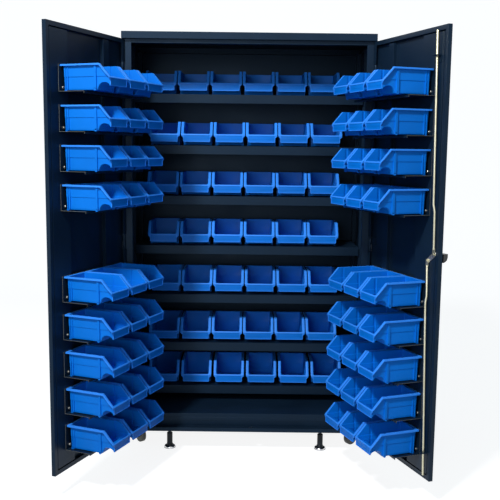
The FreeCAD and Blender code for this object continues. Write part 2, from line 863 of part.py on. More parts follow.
def hat_stiffener(name, side, start, end, bored=False):
    """Folded channel inside a door, its feet on the skin and its face level with the door's flanges."""
    sign = DOORS[side][0]

    def x(text):
        return f"{sign}({text})"

    body = new_body(name)
    section = sketch_on(body, "XY_Plane", "door_bottom + door_flange + stiffener_end_gap")
    sheet = "stiffener_sheet"
    outline(section, [
        (x(f"{start} - stiffener_foot"), "skin_inner"),
        (x(f"{start} - stiffener_foot"), f"skin_inner + {sheet}"),
        (x(start), f"skin_inner + {sheet}"),
        (x(start), "door_half"),
        (x(end), "door_half"),
        (x(end), f"skin_inner + {sheet}"),
        (x(f"{end} + stiffener_foot"), f"skin_inner + {sheet}"),
        (x(f"{end} + stiffener_foot"), "skin_inner"),
        (x(f"{end} - {sheet}"), "skin_inner"),
        (x(f"{end} - {sheet}"), f"door_half - {sheet}"),
        (x(f"{start} + {sheet}"), f"door_half - {sheet}"),
        (x(f"{start} + {sheet}"), "skin_inner"),
    ])
    pad(body, section, "door_height - 2 * (door_flange + stiffener_end_gap)")
    if bored:
        bore = sketch_on(body, "XZ_Plane", "overrun - door_half")
        circle(bore, x("lock_from_hinge"), "lock_height", "sleeve_radius + sleeve_fit")
        pocket(body, bore, "2 * overrun")
    return body


def tray(side):
    """Tray for three bins: a plate on the door, folded out into a ledge with a turned-down lip."""
    sign = DOORS[side][0]
    body = new_body(side.title() + "Tray")
    profile = sketch_on(body, "YZ_Plane", {"": "tray_start", "-": "-tray_end"}[sign])
    outline(profile, [
        ("door_half", "tray_plate_rise"),
        ("tray_front", "tray_plate_rise"),
        ("tray_front", "0"),
        ("tray_front + tray_depth", "0"),
        ("tray_front + tray_depth", "-tray_lip"),
        ("tray_front + tray_depth - tray_sheet", "-tray_lip"),
        ("tray_front + tray_depth - tray_sheet", "-tray_sheet"),
        ("door_half", "-tray_sheet"),
    ])
    pad(body, profile, "tray_end - tray_start")
    return body


def bolt_head():
    """Hexagon head, drawn lying on its side as it sits on a tray's plate."""
    head = doc.addObject("Part::Prism", "BoltHead")
    head.Polygon = HEX_SIDES
    head.setExpression("Circumradius", formula("bolt_radius"))
    head.setExpression("Height", formula("bolt_head"))
    head.Placement = turned(0, 0, 0, -90, (1, 0, 0))
    return head


def hinge_leaf(side):
    """Upper knuckle of a hinge with the leaf that lies on the inside of the door's skin."""
    sign = DOORS[side][0]
    body = new_body(side.title() + "HingeLeaf")
    knuckle = sketch_on(body, "XY_Plane", "hinge_knuckle_gap / 2")
    circle(knuckle, "0", "0", "hinge_barrel_radius")
    pad(body, knuckle, "hinge_knuckle_height")
    leaf = sketch_on(body, "XY_Plane", "hinge_knuckle_gap / 2")
    rectangle(leaf, "0", f"{sign}(hinge_leaf_length)", "skin_inner", "skin_inner + hinge_leaf_sheet")
    pad(body, leaf, "hinge_knuckle_height")
    bore = sketch_on(body, "XY_Plane", "-overrun")
    circle(bore, "0", "0", "pin_bore")
    pocket(body, bore, "hinge_knuckle_height + 2 * overrun", reverse=True)
    return body


bolt_master = bolt_head()
door_bin = hopper_bin("door")
row_heights = [at("low_row") + at("door_row_pitch") * i for i in range(LOWER_ROWS)]
upper_heights = [at("first_upper_row") + at("door_row_pitch") * i for i in range(UPPER_ROWS)]
for side, (sign, where) in DOORS.items():
    way = -1 if sign else 1
    door(side)
    stiffener = hat_stiffener(side + "Stiffener", side, "hinge_stiffener_start",
                              "hinge_stiffener_start + hinge_stiffener_width")
    channel = hat_stiffener(side + "Channel", side, side + "_channel_start", "channel_end",
                            bored=side == "right")
    if side == "left":
        group_of("left_door_stiffeners", [(stiffener, WHERE_IT_IS), (channel, WHERE_IT_IS)], where)
    else:
        keep(stiffener, "right_door_stiffener", where)
        keep(channel, "lock_channel", where)
    ledges = [height - at("seat_gap") for height in row_heights + upper_heights]
    copies_of(tray(side), [turned(0, 0, ledge) for ledge in ledges], side + "_bin_trays", where)
    bolt_ends = (at("hinge_stiffener_start") + at("hinge_stiffener_width") / 2,
                 at("tray_end") - at("bolt_from_end"))
    bolts = [turned(way * u, at("tray_front"), ledge + at("bolt_rise"))
             for ledge in ledges for u in bolt_ends]
    copies_of(bolt_master, bolts, side + "_tray_bolts", where)
    copies_of(hinge_leaf(side), HINGE_STANDS, side + "_door_hinges", where)
    first = at("door_bin_start") + at("door_bin_width") / 2
    for part, heights in (("lower", row_heights), ("upper", upper_heights)):
        spots = [turned(way * (first + at("door_bin_pitch") * i), at("door_bin_back"), height)
                 for height in heights for i in range(BINS_PER_TRAY)]
        copies_of(door_bin, spots, f"{side}_{part}_bins", where)


def frame_hinge():
    """Lower knuckle of a hinge with its pin, on a web that is welded to the stile."""
    body = new_body("FrameHinge")
    knuckle = sketch_on(body, "XY_Plane", "-hinge_knuckle_gap / 2")
    circle(knuckle, "0", "0", "hinge_barrel_radius")
    pad(body, knuckle, "hinge_knuckle_height", reverse=True)
    web = sketch_on(body, "XY_Plane", "-hinge_knuckle_gap / 2")
    rectangle(web, "-hinge_web / 2", "hinge_web / 2", "0", "-hinge_y")
    pad(body, web, "hinge_knuckle_height", reverse=True)
    pin = sketch_on(body, "XY_Plane", "-hinge_knuckle_height / 2")
    circle(pin, "0", "0", "hinge_pin_radius")
    pad(body, pin, "1.5 * hinge_knuckle_height - hinge_pin_short")
    return body


frame_hinge_stands = [turned(sign * at("hinge_x"), at("hinge_y"), at(height))
                      for sign in (-1, 1) for height in HINGE_HEIGHTS]
copies_of(frame_hinge(), frame_hinge_stands, "frame_hinge_leaves")


# Lock, handle and rods, all in the right door's frame

lock_where = DOORS["right"][1]


def lock_housing():
    """Round escutcheon outside the door with a sleeve that runs through the skin and the lock channel."""
    body = new_body("lock_housing")
    disc = sketch_on(body, "XZ_Plane", "door_half")
    circle(disc, "-lock_from_hinge", "lock_height", "handle_base_radius")
    pad(body, disc, "escutcheon_thickness")
    sleeve = sketch_on(body, "XZ_Plane", "door_half")
    circle(sleeve, "-lock_from_hinge", "lock_height", "sleeve_radius")
    pad(body, sleeve, "door_thickness", reverse=True)
    bore = sketch_on(body, "XZ_Plane", "door_half + overrun")
    circle(bore, "-lock_from_hinge", "lock_height", "spindle_radius + hinge_fit")
    pocket(body, bore, "door_thickness + 2 * overrun")
    return keep(body, "lock_housing", lock_where)


def handle():
    """Wing handle, flat on top and rounded below, on a round base; its spindle runs through to the cam."""
    body = new_body("handle")
    base = sketch_on(body, "XZ_Plane", "handle_seat")
    circle(base, "-lock_from_hinge", "lock_height", "handle_base_radius")
    pad(body, base, "handle_base_depth")
    wing = sketch_on(body, "YZ_Plane", "-lock_from_hinge")
    outline(wing, [
        ("-handle_face", "lock_height + handle_height / 2"),
        ("-handle_face - handle_depth", "lock_height + handle_height / 2"),
        ("-handle_face - handle_depth", "lock_height + handle_nose_rise"),
        ("-handle_face - handle_chin_depth", "lock_height - handle_chin_drop"),
        ("-handle_face - handle_heel_depth", "lock_height - handle_heel_drop"),
        ("-handle_face", "lock_height - handle_height / 2"),
    ])
    pad(body, wing, "handle_length", midplane=True)
    spindle = sketch_on(body, "XZ_Plane", "handle_seat")
    circle(spindle, "-lock_from_hinge", "lock_height", "spindle_radius")
    pad(body, spindle, "handle_seat + cam_face - cam_thickness", reverse=True)
    return keep(body, "handle", lock_where)


def lock_cam():
    """Two-armed cam plate on the spindle's end, drawn level and turned to where it stands when unlocked."""
    body = new_body("lock_cam")
    reach, tip = "(cam_radius + cam_width / 2)", "(cam_radius + cam_width / 4)"
    plate = sketch_on(body, "XZ_Plane", "cam_thickness - cam_face")
    outline(plate, [
        (reach, "-cam_width / 4"),
        (reach, "cam_width / 4"),
        (tip, "cam_width / 2"),
        (f"-{tip}", "cam_width / 2"),
        (f"-{reach}", "cam_width / 4"),
        (f"-{reach}", "-cam_width / 4"),
        (f"-{tip}", "-cam_width / 2"),
        (tip, "-cam_width / 2"),
    ])
    pad(body, plate, "cam_thickness", reverse=True)
    spot = turned(-at("lock_from_hinge"), 0, at("lock_height"), at("cam_angle"), (0, 1, 0))
    return keep(body, "lock_cam", lock_where.multiply(spot))


def rod_frame(rod):
    """The frame of one rod: its pivot on the cam, leaning the way the rod leans."""
    way = {"upper": 1, "lower": -1}[rod]
    angle = math.radians(at("cam_angle"))
    u = at("lock_from_hinge") + way * at("cam_radius") * math.cos(angle)
    z = at("lock_height") + way * at("cam_radius") * math.sin(angle)
    return lock_where.multiply(turned(-u, 0, z, at(f"{rod}_rod_lean"), (0, 1, 0)))


def locking_rod(rod):
    """Round rod, flattened over the cam, set out round the trays' bolts, up or down to the door's end."""
    sign = {"upper": "", "lower": "-"}[rod]
    body = new_body(f"{rod}_rod")
    eye = sketch_on(body, "XZ_Plane", "-eye_face")
    outline(eye, [
        ("-rod_eye_radius / 2", f"{sign}(-rod_eye_radius)"),
        ("rod_eye_radius / 2", f"{sign}(-rod_eye_radius)"),
        ("rod_eye_radius", f"{sign}(-rod_eye_radius / 2)"),
        ("rod_eye_radius", f"{sign}(rod_eye_length)"),
        ("-rod_eye_radius", f"{sign}(rod_eye_length)"),
        ("-rod_eye_radius", f"{sign}(-rod_eye_radius / 2)"),
    ])
    pad(body, eye, "rod_eye_thickness", reverse=True)
    head = sketch_on(body, "XZ_Plane", "-eye_face - rod_eye_thickness")
    circle(head, "0", "0", "pin_radius")
    pad(body, head, "pin_head", reverse=True)
    stations = [
        (f"{sign}(rod_eye_length - rod_radius)", "rod_offset - rod_joggle"),
        (f"{sign}({rod}_rod_joggle_at)", "rod_offset - rod_joggle"),
        (f"{sign}({rod}_rod_joggle_at + rod_joggle_run)", "rod_offset"),
        (f"{sign}({rod}_rod_length)", "rod_offset"),
    ]
    rings = []
    for along, out in stations:
        ring = sketch_on(body, "XY_Plane", along)
        circle(ring, "0", out, "rod_radius")
        rings.append(ring)
    loft = body.newObject("PartDesign::AdditiveLoft", "Loft")
    loft.Profile = rings[0]
    loft.Sections = rings[1:]
    loft.Ruled = True
    return keep(body, f"{rod}_rod", rod_frame(rod))


def rod_guide(rod):
    """Angle bracket on the lock channel whose standing leg is bored for the rod."""
    sign = {"upper": "", "lower": "-"}[rod]
    body = new_body(rod.title() + "Guide")
    low = f"({rod}_rod_length - guide_from_end)"
    profile = sketch_on(body, "YZ_Plane")
    outline(profile, [
        ("door_half", f"{sign}{low}"),
        ("rod_offset + guide_width / 2", f"{sign}{low}"),
        ("rod_offset + guide_width / 2", f"{sign}({low} - guide_sheet)"),
        ("door_half + guide_sheet", f"{sign}({low} - guide_sheet)"),
        ("door_half + guide_sheet", f"{sign}({low} - guide_width)"),
        ("door_half", f"{sign}({low} - guide_width)"),
    ])
    pad(body, profile, "guide_width", midplane=True)
    bore = sketch_on(body, "XY_Plane", f"{sign}{low} - overrun")
    circle(bore, "0", "rod_offset", "rod_radius + guide_fit")
    pocket(body, bore, "2 * overrun", reverse=True)
    return body


lock_housing()
handle()
lock_cam()
locking_rod("upper")
locking_rod("lower")
group_of("rod_guides", [(rod_guide(rod), rod_frame(rod)) for rod in ("upper", "lower")])


# Levelling feet and casters


def foot():
    """Round pad and its ball socket under a column that narrows to a stud, drawn without its thread."""
    body = new_body("Foot")
    profile = sketch_on(body, "XZ_Plane")
    outline(profile, [
        ("0", "0"),
        ("foot_pad_radius", "0"),
        ("foot_pad_radius", "foot_rim"),
        ("foot_socket_radius", "foot_rim"),
        ("foot_socket_radius", "foot_socket_height"),
        ("foot_neck_radius", "foot_socket_height"),
        ("foot_neck_radius", "foot_column_height"),
        ("foot_stem_radius", "foot_column_height"),
        ("foot_stem_radius", "foot_stem_end"),
        ("0", "foot_stem_end"),
    ])
    revolve(body, profile)
    return body


def foot_nut():
    """Hexagon nut under the base rail, bored for the foot's stud."""
    blank = doc.addObject("Part::Prism", "NutBlank")
    blank.Polygon = HEX_SIDES
    blank.setExpression("Circumradius", formula("foot_nut_radius"))
    blank.setExpression("Height", formula("foot_nut_height"))
    bore = doc.addObject("Part::Cylinder", "NutBore")
    bore.setExpression("Radius", formula("foot_stem_radius + foot_fit"))
    bore.setExpression("Height", formula("foot_nut_height + 2 * overrun"))
    bore.setExpression(".Placement.Base.z", formula("-overrun"))
    return cut("FootNut", blank, [bore])


def caster_plate():
    """Mounting plate of a caster with the round seat its fork turns under."""
    low, high = "-caster_plate / 2", "caster_plate / 2"
    plate = block("PlateBlank", low, high, low, high, "plate_bottom", "ground_gap")
    seat = doc.addObject("Part::Cylinder", "PlateSeat")
    seat.setExpression("Radius", formula("raceway_radius"))
    seat.setExpression("Height", formula("raceway_height"))
    seat.setExpression(".Placement.Base.z", formula("raceway_bottom"))
    return joined("CasterPlate", [plate, seat])


def fork(name, top, trail):
    """Bent fork with two legs and its axle, drawn with the wheel trailing towards +Y."""
    body = new_body(name)
    side = sketch_on(body, "YZ_Plane")
    outline(side, [
        ("-raceway_radius", top),
        ("raceway_radius", top),
        (f"{trail} + fork_leg_width / 2", "axle_height + fork_leg_round"),
        (f"{trail} + fork_leg_width / 2", "axle_height - axle_radius"),
        (f"{trail} + axle_radius", "axle_height - fork_leg_round"),
        (f"{trail} - axle_radius", "axle_height - fork_leg_round"),
        (f"{trail} - fork_leg_width / 2", "axle_height - axle_radius"),
    ])
    pad(body, side, "2 * fork_outer_half", midplane=True)
    gap = sketch_on(body, "YZ_Plane")
    rectangle(gap, f"{trail} - wheel_radius - overrun", f"{trail} + wheel_radius + overrun", "0",
              f"{top} - fork_sheet")
    pocket(body, gap, "2 * fork_inner_half", midplane=True)
    axle = sketch_on(body, "YZ_Plane")
    circle(axle, trail, "axle_height", "axle_radius")
    pad(body, axle, "2 * fork_outer_half", midplane=True)
    return body


def wheel():
    """Caster wheel about its own axle along X: a tyre of plain section, bored for the axle."""
    body = new_body("Wheel")
    section = sketch_on(body, "XY_Plane")
    rectangle(section, "-wheel_width / 2", "wheel_width / 2", "axle_radius + axle_fit", "wheel_radius")
    revolve(body, section, "H_Axis")
    return body


foot_master = foot()
nut_master = foot_nut()
plate_master = caster_plate()
swivel_fork = fork("SwivelFork", "fork_top", "fork_trail")
rigid_fork = fork("RigidFork", "raceway_bottom", "0")
wheel_master = wheel()
nut_spots = []
plate_spots = []
rigid_spots = []
ENDS = (("front", "front_foot_y", "front_caster_y"), ("rear", "rear_foot_y", "rear_caster_y"))
for end, foot_y, caster_y in ENDS:
    for side, sign in (("left", -1), ("right", 1)):
        foot_x = sign * at("foot_spacing") / 2
        copies_of(foot_master, [turned(0, 0, 0)], f"{end}_{side}_foot", turned(foot_x, at(foot_y), 0))
        nut_spots.append(turned(foot_x, at(foot_y), at("ground_gap") - at("foot_nut_height")))
        spot = turned(sign * at("caster_spacing") / 2, at(caster_y), 0)
        plate_spots.append(spot)
        axle_spot = turned(0, 0, at("axle_height"))
        if end == "front":
            spot = spot.multiply(turned(0, 0, 0, at(f"{side}_fork_turn")))
            copies_of(swivel_fork, [turned(0, 0, 0)], f"front_{side}_fork", spot)
            axle_spot = turned(0, at("fork_trail"), at("axle_height"))
        else:
            rigid_spots.append(spot)
        copies_of(wheel_master, [turned(0, 0, 0)], f"{end}_{side}_wheel", spot.multiply(axle_spot))
copies_of(nut_master, nut_spots, "foot_nuts")
copies_of(plate_master, plate_spots, "caster_plates")
copies_of(rigid_fork, rigid_spots, "rear_caster_forks")


# Check every object, then write one file for each sub-part

doc.recompute()
for item in doc.Objects:
    faults = [state for state in item.State if state in ("Invalid", "Error")]
    if faults:
        raise RuntimeError(f"{item.Label} is {faults[0]}")
labels = [item.Label for item in nodes]
if len(set(labels)) != len(labels):
    raise RuntimeError("two sub-parts share one label")
os.makedirs("parts", exist_ok=True)
for item in nodes:
    if item.Shape.isNull() or not item.Shape.isValid():
        raise RuntimeError(f"{item.Label} has no sound shape")
    item.Shape.exportStep(f"parts/{item.Label}.step")
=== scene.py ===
import json
import math
import bmesh
import bpy
import numpy as np
from mathutils import Matrix, Vector

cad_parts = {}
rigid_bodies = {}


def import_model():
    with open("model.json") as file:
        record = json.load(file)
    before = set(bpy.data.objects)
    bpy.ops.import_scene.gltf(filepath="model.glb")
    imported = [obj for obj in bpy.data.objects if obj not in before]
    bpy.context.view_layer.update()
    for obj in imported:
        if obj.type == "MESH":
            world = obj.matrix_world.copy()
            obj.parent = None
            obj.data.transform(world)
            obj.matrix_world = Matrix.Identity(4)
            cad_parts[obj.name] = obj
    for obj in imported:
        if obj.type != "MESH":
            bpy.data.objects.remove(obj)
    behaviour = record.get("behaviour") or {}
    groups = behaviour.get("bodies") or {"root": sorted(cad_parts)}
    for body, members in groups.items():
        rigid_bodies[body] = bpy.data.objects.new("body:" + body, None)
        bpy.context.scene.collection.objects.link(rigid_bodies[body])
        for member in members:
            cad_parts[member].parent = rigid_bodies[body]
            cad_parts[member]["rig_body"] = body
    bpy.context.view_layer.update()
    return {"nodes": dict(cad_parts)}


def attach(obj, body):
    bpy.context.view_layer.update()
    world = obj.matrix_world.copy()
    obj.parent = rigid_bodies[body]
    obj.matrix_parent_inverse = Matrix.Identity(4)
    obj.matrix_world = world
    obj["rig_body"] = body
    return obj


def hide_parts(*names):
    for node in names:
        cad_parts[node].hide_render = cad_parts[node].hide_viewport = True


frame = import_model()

# Parts bin cabinet, built up in the order it is put together: folded steel body, base, shelves, doors, trays,
# hopper bins, lock and rods, hinges, levelling feet and casters. Lengths are in metres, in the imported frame.
nodes = frame["nodes"]

# Cabinet body: walls, back, rails, floor and the cap over them, folded from steel sheet and sprayed with a
# near-black powder coat. The coat has a fine cast grain and a satin gloss with a bluish sheen.
coat_colour, second_coat_colour = (0.0040, 0.0112, 0.0240, 1.0), (0.0052, 0.0146, 0.0310, 1.0)
# The grey edge colour is a painted highlight for sheet edges that catch the light.
coat_sheen, coat_edge_highlight = (0.50, 0.72, 1.0, 1.0), (0.150, 0.150, 0.135, 1.0)
body_fold, cap_fold, thickest_sheet = 0.0006, 0.0014, 0.0023
sharp_fold, flat_join, weld_gap = 0.5, math.radians(1.0), 1e-6


def shader_group(name, inputs, outputs):
    """An empty node group with named sockets: inputs are (name, kind, value), outputs are (name, kind)."""
    group = bpy.data.node_groups.new(name, "ShaderNodeTree")
    for label, kind, value in inputs:
        socket = group.interface.new_socket(label, in_out="INPUT", socket_type=kind)
        socket.default_value = value
    for label, kind in outputs:
        group.interface.new_socket(label, in_out="OUTPUT", socket_type=kind)
    return group, group.nodes.new("NodeGroupInput"), group.nodes.new("NodeGroupOutput")


def wire(tree, start, end):
    """Joins an output to an input; each is (node, socket name or number)."""
    tree.links.new(start[0].outputs[start[1]], end[0].inputs[end[1]])


def noise(tree, scale, detail=2.0, rough=0.5, source=None):
    """Noise in Object coordinates, in waves to the metre."""
    node = tree.nodes.new("ShaderNodeTexNoise")
    node.inputs["Scale"].default_value = scale
    node.inputs["Detail"].default_value = detail
    node.inputs["Roughness"].default_value = rough
    if source is None:
        source = (tree.nodes.new("ShaderNodeTexCoord"), "Object")
    wire(tree, source, (node, "Vector"))
    return node


def spread(tree, value, low, high, to_low=0.0, to_high=1.0):
    """Map Range: low..high of a value becomes to_low..to_high, held at the ends."""
    node = tree.nodes.new("ShaderNodeMapRange")
    for label, number in (("From Min", low), ("From Max", high), ("To Min", to_low), ("To Max", to_high)):
        node.inputs[label].default_value = number
    wire(tree, value, (node, "Value"))
    return node


def blend_colours(tree, factor, first, second):
    """Colour mix; first and second are colours or (node, socket) pairs."""
    node = tree.nodes.new("ShaderNodeMix")
    node.data_type = "RGBA"
    wire(tree, factor, (node, "Factor"))
    for label, value in (("A", first), ("B", second)):
        socket = next(s for s in node.inputs if s.name == label and s.type == "RGBA")
        if isinstance(value, tuple) and isinstance(value[0], float):
            socket.default_value = value
        else:
            tree.links.new(value[0].outputs[value[1]], socket)
    return node


def mixed(node):
    """The number of a colour mix's colour socket."""
    return next(i for i, s in enumerate(node.outputs) if s.type == "RGBA")


# Height and masks of a sprayed or moulded skin: a fine grain, a slow wave, and settled dust as faint specks.
speck_scale, speck_band = 260.0, (0.62, 0.74)
skin_group, skin_in, skin_out = shader_group(
    "skin_texture",
    [("Grain Scale", "NodeSocketFloat", 900.0), ("Wave Scale", "NodeSocketFloat", 6.0)],
    [("Height", "NodeSocketFloat"), ("Wave", "NodeSocketFloat"), ("Speck", "NodeSocketFloat")])
skin_at = skin_group.nodes.new("ShaderNodeTexCoord")
for label, detail, out in (("Grain Scale", 2.0, "Height"), ("Wave Scale", 3.0, "Wave")):
    field = noise(skin_group, 1.0, detail, 0.55, (skin_at, "Object"))
    wire(skin_group, (skin_in, label), (field, "Scale"))
    wire(skin_group, (field, 0), (skin_out, out))
speck = noise(skin_group, speck_scale, 4.0, 0.7, (skin_at, "Object"))
wire(skin_group, (spread(skin_group, (speck, 0), *speck_band), 0), (skin_out, "Speck"))
tone_band, gloss_band, edge_band = (0.3, 0.7), (0.25, 0.75), (0.2, 0.8)
dust_gain, dust_lift, grain_depth = 2.2, 0.01, 0.0004


def finish(name, colour, second, roughness, rough_spread=0.08, metallic=0.0, grain=900.0, wave=6.0, bump=0.12,
           speck_share=0.0, specular=0.5, edge_highlight=None, tint=(1.0, 1.0, 1.0, 1.0)):
    """Principled material: the slow wave blends two colours and moves the roughness, specks add dust and the
    grain is the bump. The edge colour argument is a painted highlight, laid on the faces that the edge mask names."""
    material = bpy.data.materials.new(name)
    material.use_nodes = True
    tree = material.node_tree
    shader = tree.nodes["Principled BSDF"]
    skin = tree.nodes.new("ShaderNodeGroup")
    skin.node_tree = skin_group
    skin.inputs["Grain Scale"].default_value = grain
    skin.inputs["Wave Scale"].default_value = wave
    tone = spread(tree, (skin, "Wave"), *tone_band)
    base = blend_colours(tree, (tone, 0), colour, second)
    dust = tuple(min(1.0, c * dust_gain + dust_lift) for c in colour[:3]) + (1.0,)
    base = blend_colours(tree, (spread(tree, (skin, "Speck"), 0.0, 1.0, 0.0, speck_share), 0),
                         (base, mixed(base)), dust)
    # Painted highlight: faces named by the edge mask take the lighter edge colour.
    if edge_highlight:
        mask = tree.nodes.new("ShaderNodeAttribute")
        mask.attribute_name = "cut_edge"
        base = blend_colours(tree, (spread(tree, (mask, "Fac"), *edge_band), 0), (base, mixed(base)), edge_highlight)
    wire(tree, (base, mixed(base)), (shader, "Base Color"))
    gloss = spread(tree, (skin, "Wave"), *gloss_band, roughness - rough_spread, roughness + rough_spread)
    wire(tree, (gloss, 0), (shader, "Roughness"))
    relief = tree.nodes.new("ShaderNodeBump")
    relief.inputs["Strength"].default_value = bump
    relief.inputs["Distance"].default_value = grain_depth
    wire(tree, (skin, "Height"), (relief, "Height"))
    wire(tree, (relief, "Normal"), (shader, "Normal"))
    shader.inputs["Metallic"].default_value = metallic
    shader.inputs["Specular IOR Level"].default_value = specular
    shader.inputs["Specular Tint"].default_value = tint
    return material


coat_material = finish("powder_coat", coat_colour, second_coat_colour, roughness=0.40, grain=1400.0, wave=5.0,
                       bump=0.22, speck_share=0.4, specular=0.20, edge_highlight=coat_edge_highlight, tint=coat_sheen)


def is_cut_edge(mesh, face):
    """True for a long face no wider than the sheet is thick; its width is 2 * area / perimeter."""
    perimeter = sum((mesh.vertices[a].co - mesh.vertices[b].co).length for a, b in face.edge_keys)
    return 2 * face.area / perimeter < thickest_sheet


def folded(node, material, radius, segments=2, highlit_edges=False):
    """Stands for a node of folded or cut metal: a copy of its solid, doubles merged, triangles of one plane
    joined, and every edge sharper than sharp_fold rounded to the radius."""
    mesh = nodes[node].data.copy()
    shape = bmesh.new()
    shape.from_mesh(mesh)
    bmesh.ops.remove_doubles(shape, verts=shape.verts, dist=weld_gap)
    bmesh.ops.dissolve_limit(shape, angle_limit=flat_join, verts=shape.verts, edges=shape.edges)
    shape.to_mesh(mesh)
    shape.free()
    # Painted highlight mask: when asked for, the sheet's cut edges take the lighter edge colour.
    edge = mesh.attributes.new("cut_edge", "FLOAT", "FACE")
    edge.data.foreach_set("value", [float(highlit_edges and is_cut_edge(mesh, face)) for face in mesh.polygons])
    piece = bpy.data.objects.new(node + "_sheet", mesh)
    bpy.context.scene.collection.objects.link(piece)
    mesh.materials.clear()
    mesh.materials.append(material)
    rounding = piece.modifiers.new("folds", "BEVEL")
    rounding.width = radius
    rounding.segments = segments
    rounding.limit_method = "ANGLE"
    rounding.angle_limit = sharp_fold
    rounding.harden_normals = True
    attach(piece, nodes[node]["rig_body"])
    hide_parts(node)
    return piece


for node in ("left_side_panel", "right_side_panel", "back_panel", "header_rail", "sill_rail", "floor_panel",
             "base_long_rails", "base_cross_rails"):
    folded(node, coat_material, body_fold)
folded("top_cover", coat_material, cap_fold, segments=3)


# Shelves, slotted uprights and clips: steel sheet with the body's coat. Each shelf is folded down on all four
# sides, its front edge hemmed back underneath, and rests on four clips in the uprights' slots.
shelf_count, shelf_fold, upright_edge, clip_edge = 7, 0.0006, 0.0007, 0.0003
for number in range(1, shelf_count + 1):
    folded(f"shelf_{number}", coat_material, shelf_fold)
folded("shelf_uprights", coat_material, upright_edge)
folded("shelf_clips", coat_material, clip_edge)


# Doors: sheet steel pans with their four edges folded in, hat stiffeners welded inside and, on the right, the
# lock channel. Both stand open at the angles that the photograph shows.
door_axis_x, door_axis_y = 0.606, -0.0105
door_open = {"left": math.radians(-112.0), "right": math.radians(110.3)}
door_fold, stiffener_fold = 0.0012, 0.0007
for side in ("left", "right"):
    folded(side + "_door", coat_material, door_fold, segments=3)
for node in ("left_door_stiffeners", "right_door_stiffener", "lock_channel"):
    folded(node, coat_material, stiffener_fold)


def door_to_frame(side, points):
    """Points of a door's own frame (sideways, inwards, up; zero on its hinge axis at the floor) in the cabinet's
    frame: turned by the door's angle about the upright axis, then moved to it."""
    angle = door_open[side]
    turn = np.array([[math.cos(angle), -math.sin(angle), 0.0], [math.sin(angle), math.cos(angle), 0.0],
                     [0.0, 0.0, 1.0]])
    place = np.array([-door_axis_x if side == "left" else door_axis_x, door_axis_y, 0.0])
    return points @ turn.T + place


# Trays: one folded ledge for each row of three bins, bolted to the door with two zinc-plated pan-head bolts.
# Their sheared edges carry a painted highlight: thin pale lines where they catch the light.
zinc_colour, second_zinc_colour = (0.60, 0.59, 0.52, 1.0), (0.72, 0.72, 0.68, 1.0)
tray_fold, bolt_round = 0.0005, 0.0009
zinc_material = finish("zinc_plate", zinc_colour, second_zinc_colour, roughness=0.34, rough_spread=0.10,
                       metallic=0.9, grain=500.0, wave=30.0, bump=0.1)
for side in ("left", "right"):
    folded(side + "_bin_trays", coat_material, tray_fold, highlit_edges=True)
    folded(side + "_tray_bolts", zinc_material, bolt_round)


# Hopper bins: moulded polypropylene, bright blue, open at the top and cut low at the front. A band is turned down
# all round the rim, the walls step in below half height, two thin ribs and a broad one stand on each side, and
# the floor turns up in an arch behind the framed grip lip.
bin_sizes = {
    "door": dict(length=0.240, width=0.151, height=0.110, lip_top=0.054, lip_bottom=0.020),
    "shelf": dict(length=0.240, width=0.163, height=0.122, lip_top=0.056, lip_bottom=0.019),
}
rim_width, rim_band, bin_wall, bin_step, sole = 0.0115, 0.0074, 0.0025, 0.0024, 0.0036
rim_share, seam_share, arch_rise = 0.79, 0.53, 0.0145
broad_rib, thin_rib, divider_groove = 0.0045, 0.0030, 0.0030
thin_starts, thin_steps = (0.0190, 0.0300), np.array([0.0, 0.0006, 0.0046, 0.0052])
side_middle, broad_start, broad_steps = 0.10, 0.1610, np.array([0.0, 0.0012, 0.0112, 0.0124])
nose_points, lip_depth, corner_points = (0.205, 0.220), 0.006, 4
bin_colour, second_bin_colour = (0.0012, 0.150, 0.61, 1.0), (0.0012, 0.166, 0.68, 1.0)
# Painted highlight: a lighter blue on the rim band, the lip's bead and the ears, for edges that catch the light.
bin_edge_highlight, first_rim_row, last_rim_row = (0.032, 0.245, 0.88, 1.0), 14, 19


def bin_ring(sizes, level, half, back, front, under=0.0, lip_under=None, broad=0.0, thin=0.0, corner=0.004):
    """One ring of a bin's skin: a rounded rectangle half wide to each side, from back to front, whose long sides
    stand out by thin at the two rear ribs and by broad at the front one. Its height is z = min(level, rim(y) -
    under), with rim(y) = height - slope * max(y - rim_front, 0); at the lip, lip_under stands for under."""
    length, height, lip_top = sizes["length"], sizes["height"], sizes["lip_top"]
    rim_front = rim_share * length
    rise = np.array([0, 1, 1, 0])
    along = np.concatenate([thin_starts[0] + thin_steps, thin_starts[1] + thin_steps, [side_middle],
                            broad_start + broad_steps, [rim_front], nose_points])
    out = np.concatenate([thin * rise, thin * rise, [0], broad * rise, [0, 0, 0]])
    side = np.stack([half + out, np.clip(along, back + corner, front - corner)], 1)
    turn = np.linspace(0, np.pi / 2, corner_points)
    across, deep = half - corner + corner * np.cos(turn), corner * np.sin(turn)
    rear = np.stack([across, back + corner - deep], 1)[::-1]
    ahead = np.stack([across, front - corner + deep], 1)
    half_ring = np.concatenate([[[0.0, back]], rear, side, ahead, [[0.0, front]]])
    ring = np.concatenate([half_ring, half_ring[1:-1][::-1] * np.array([-1.0, 1.0])])
    slope = (height - lip_top) / (length - rim_front)
    rim = height - slope * np.maximum(ring[:, 1] - rim_front, 0)
    below = np.where(ring[:, 1] > length - lip_depth, under if lip_under is None else lip_under, under)
    return np.column_stack([ring, np.minimum(level, rim - below)])


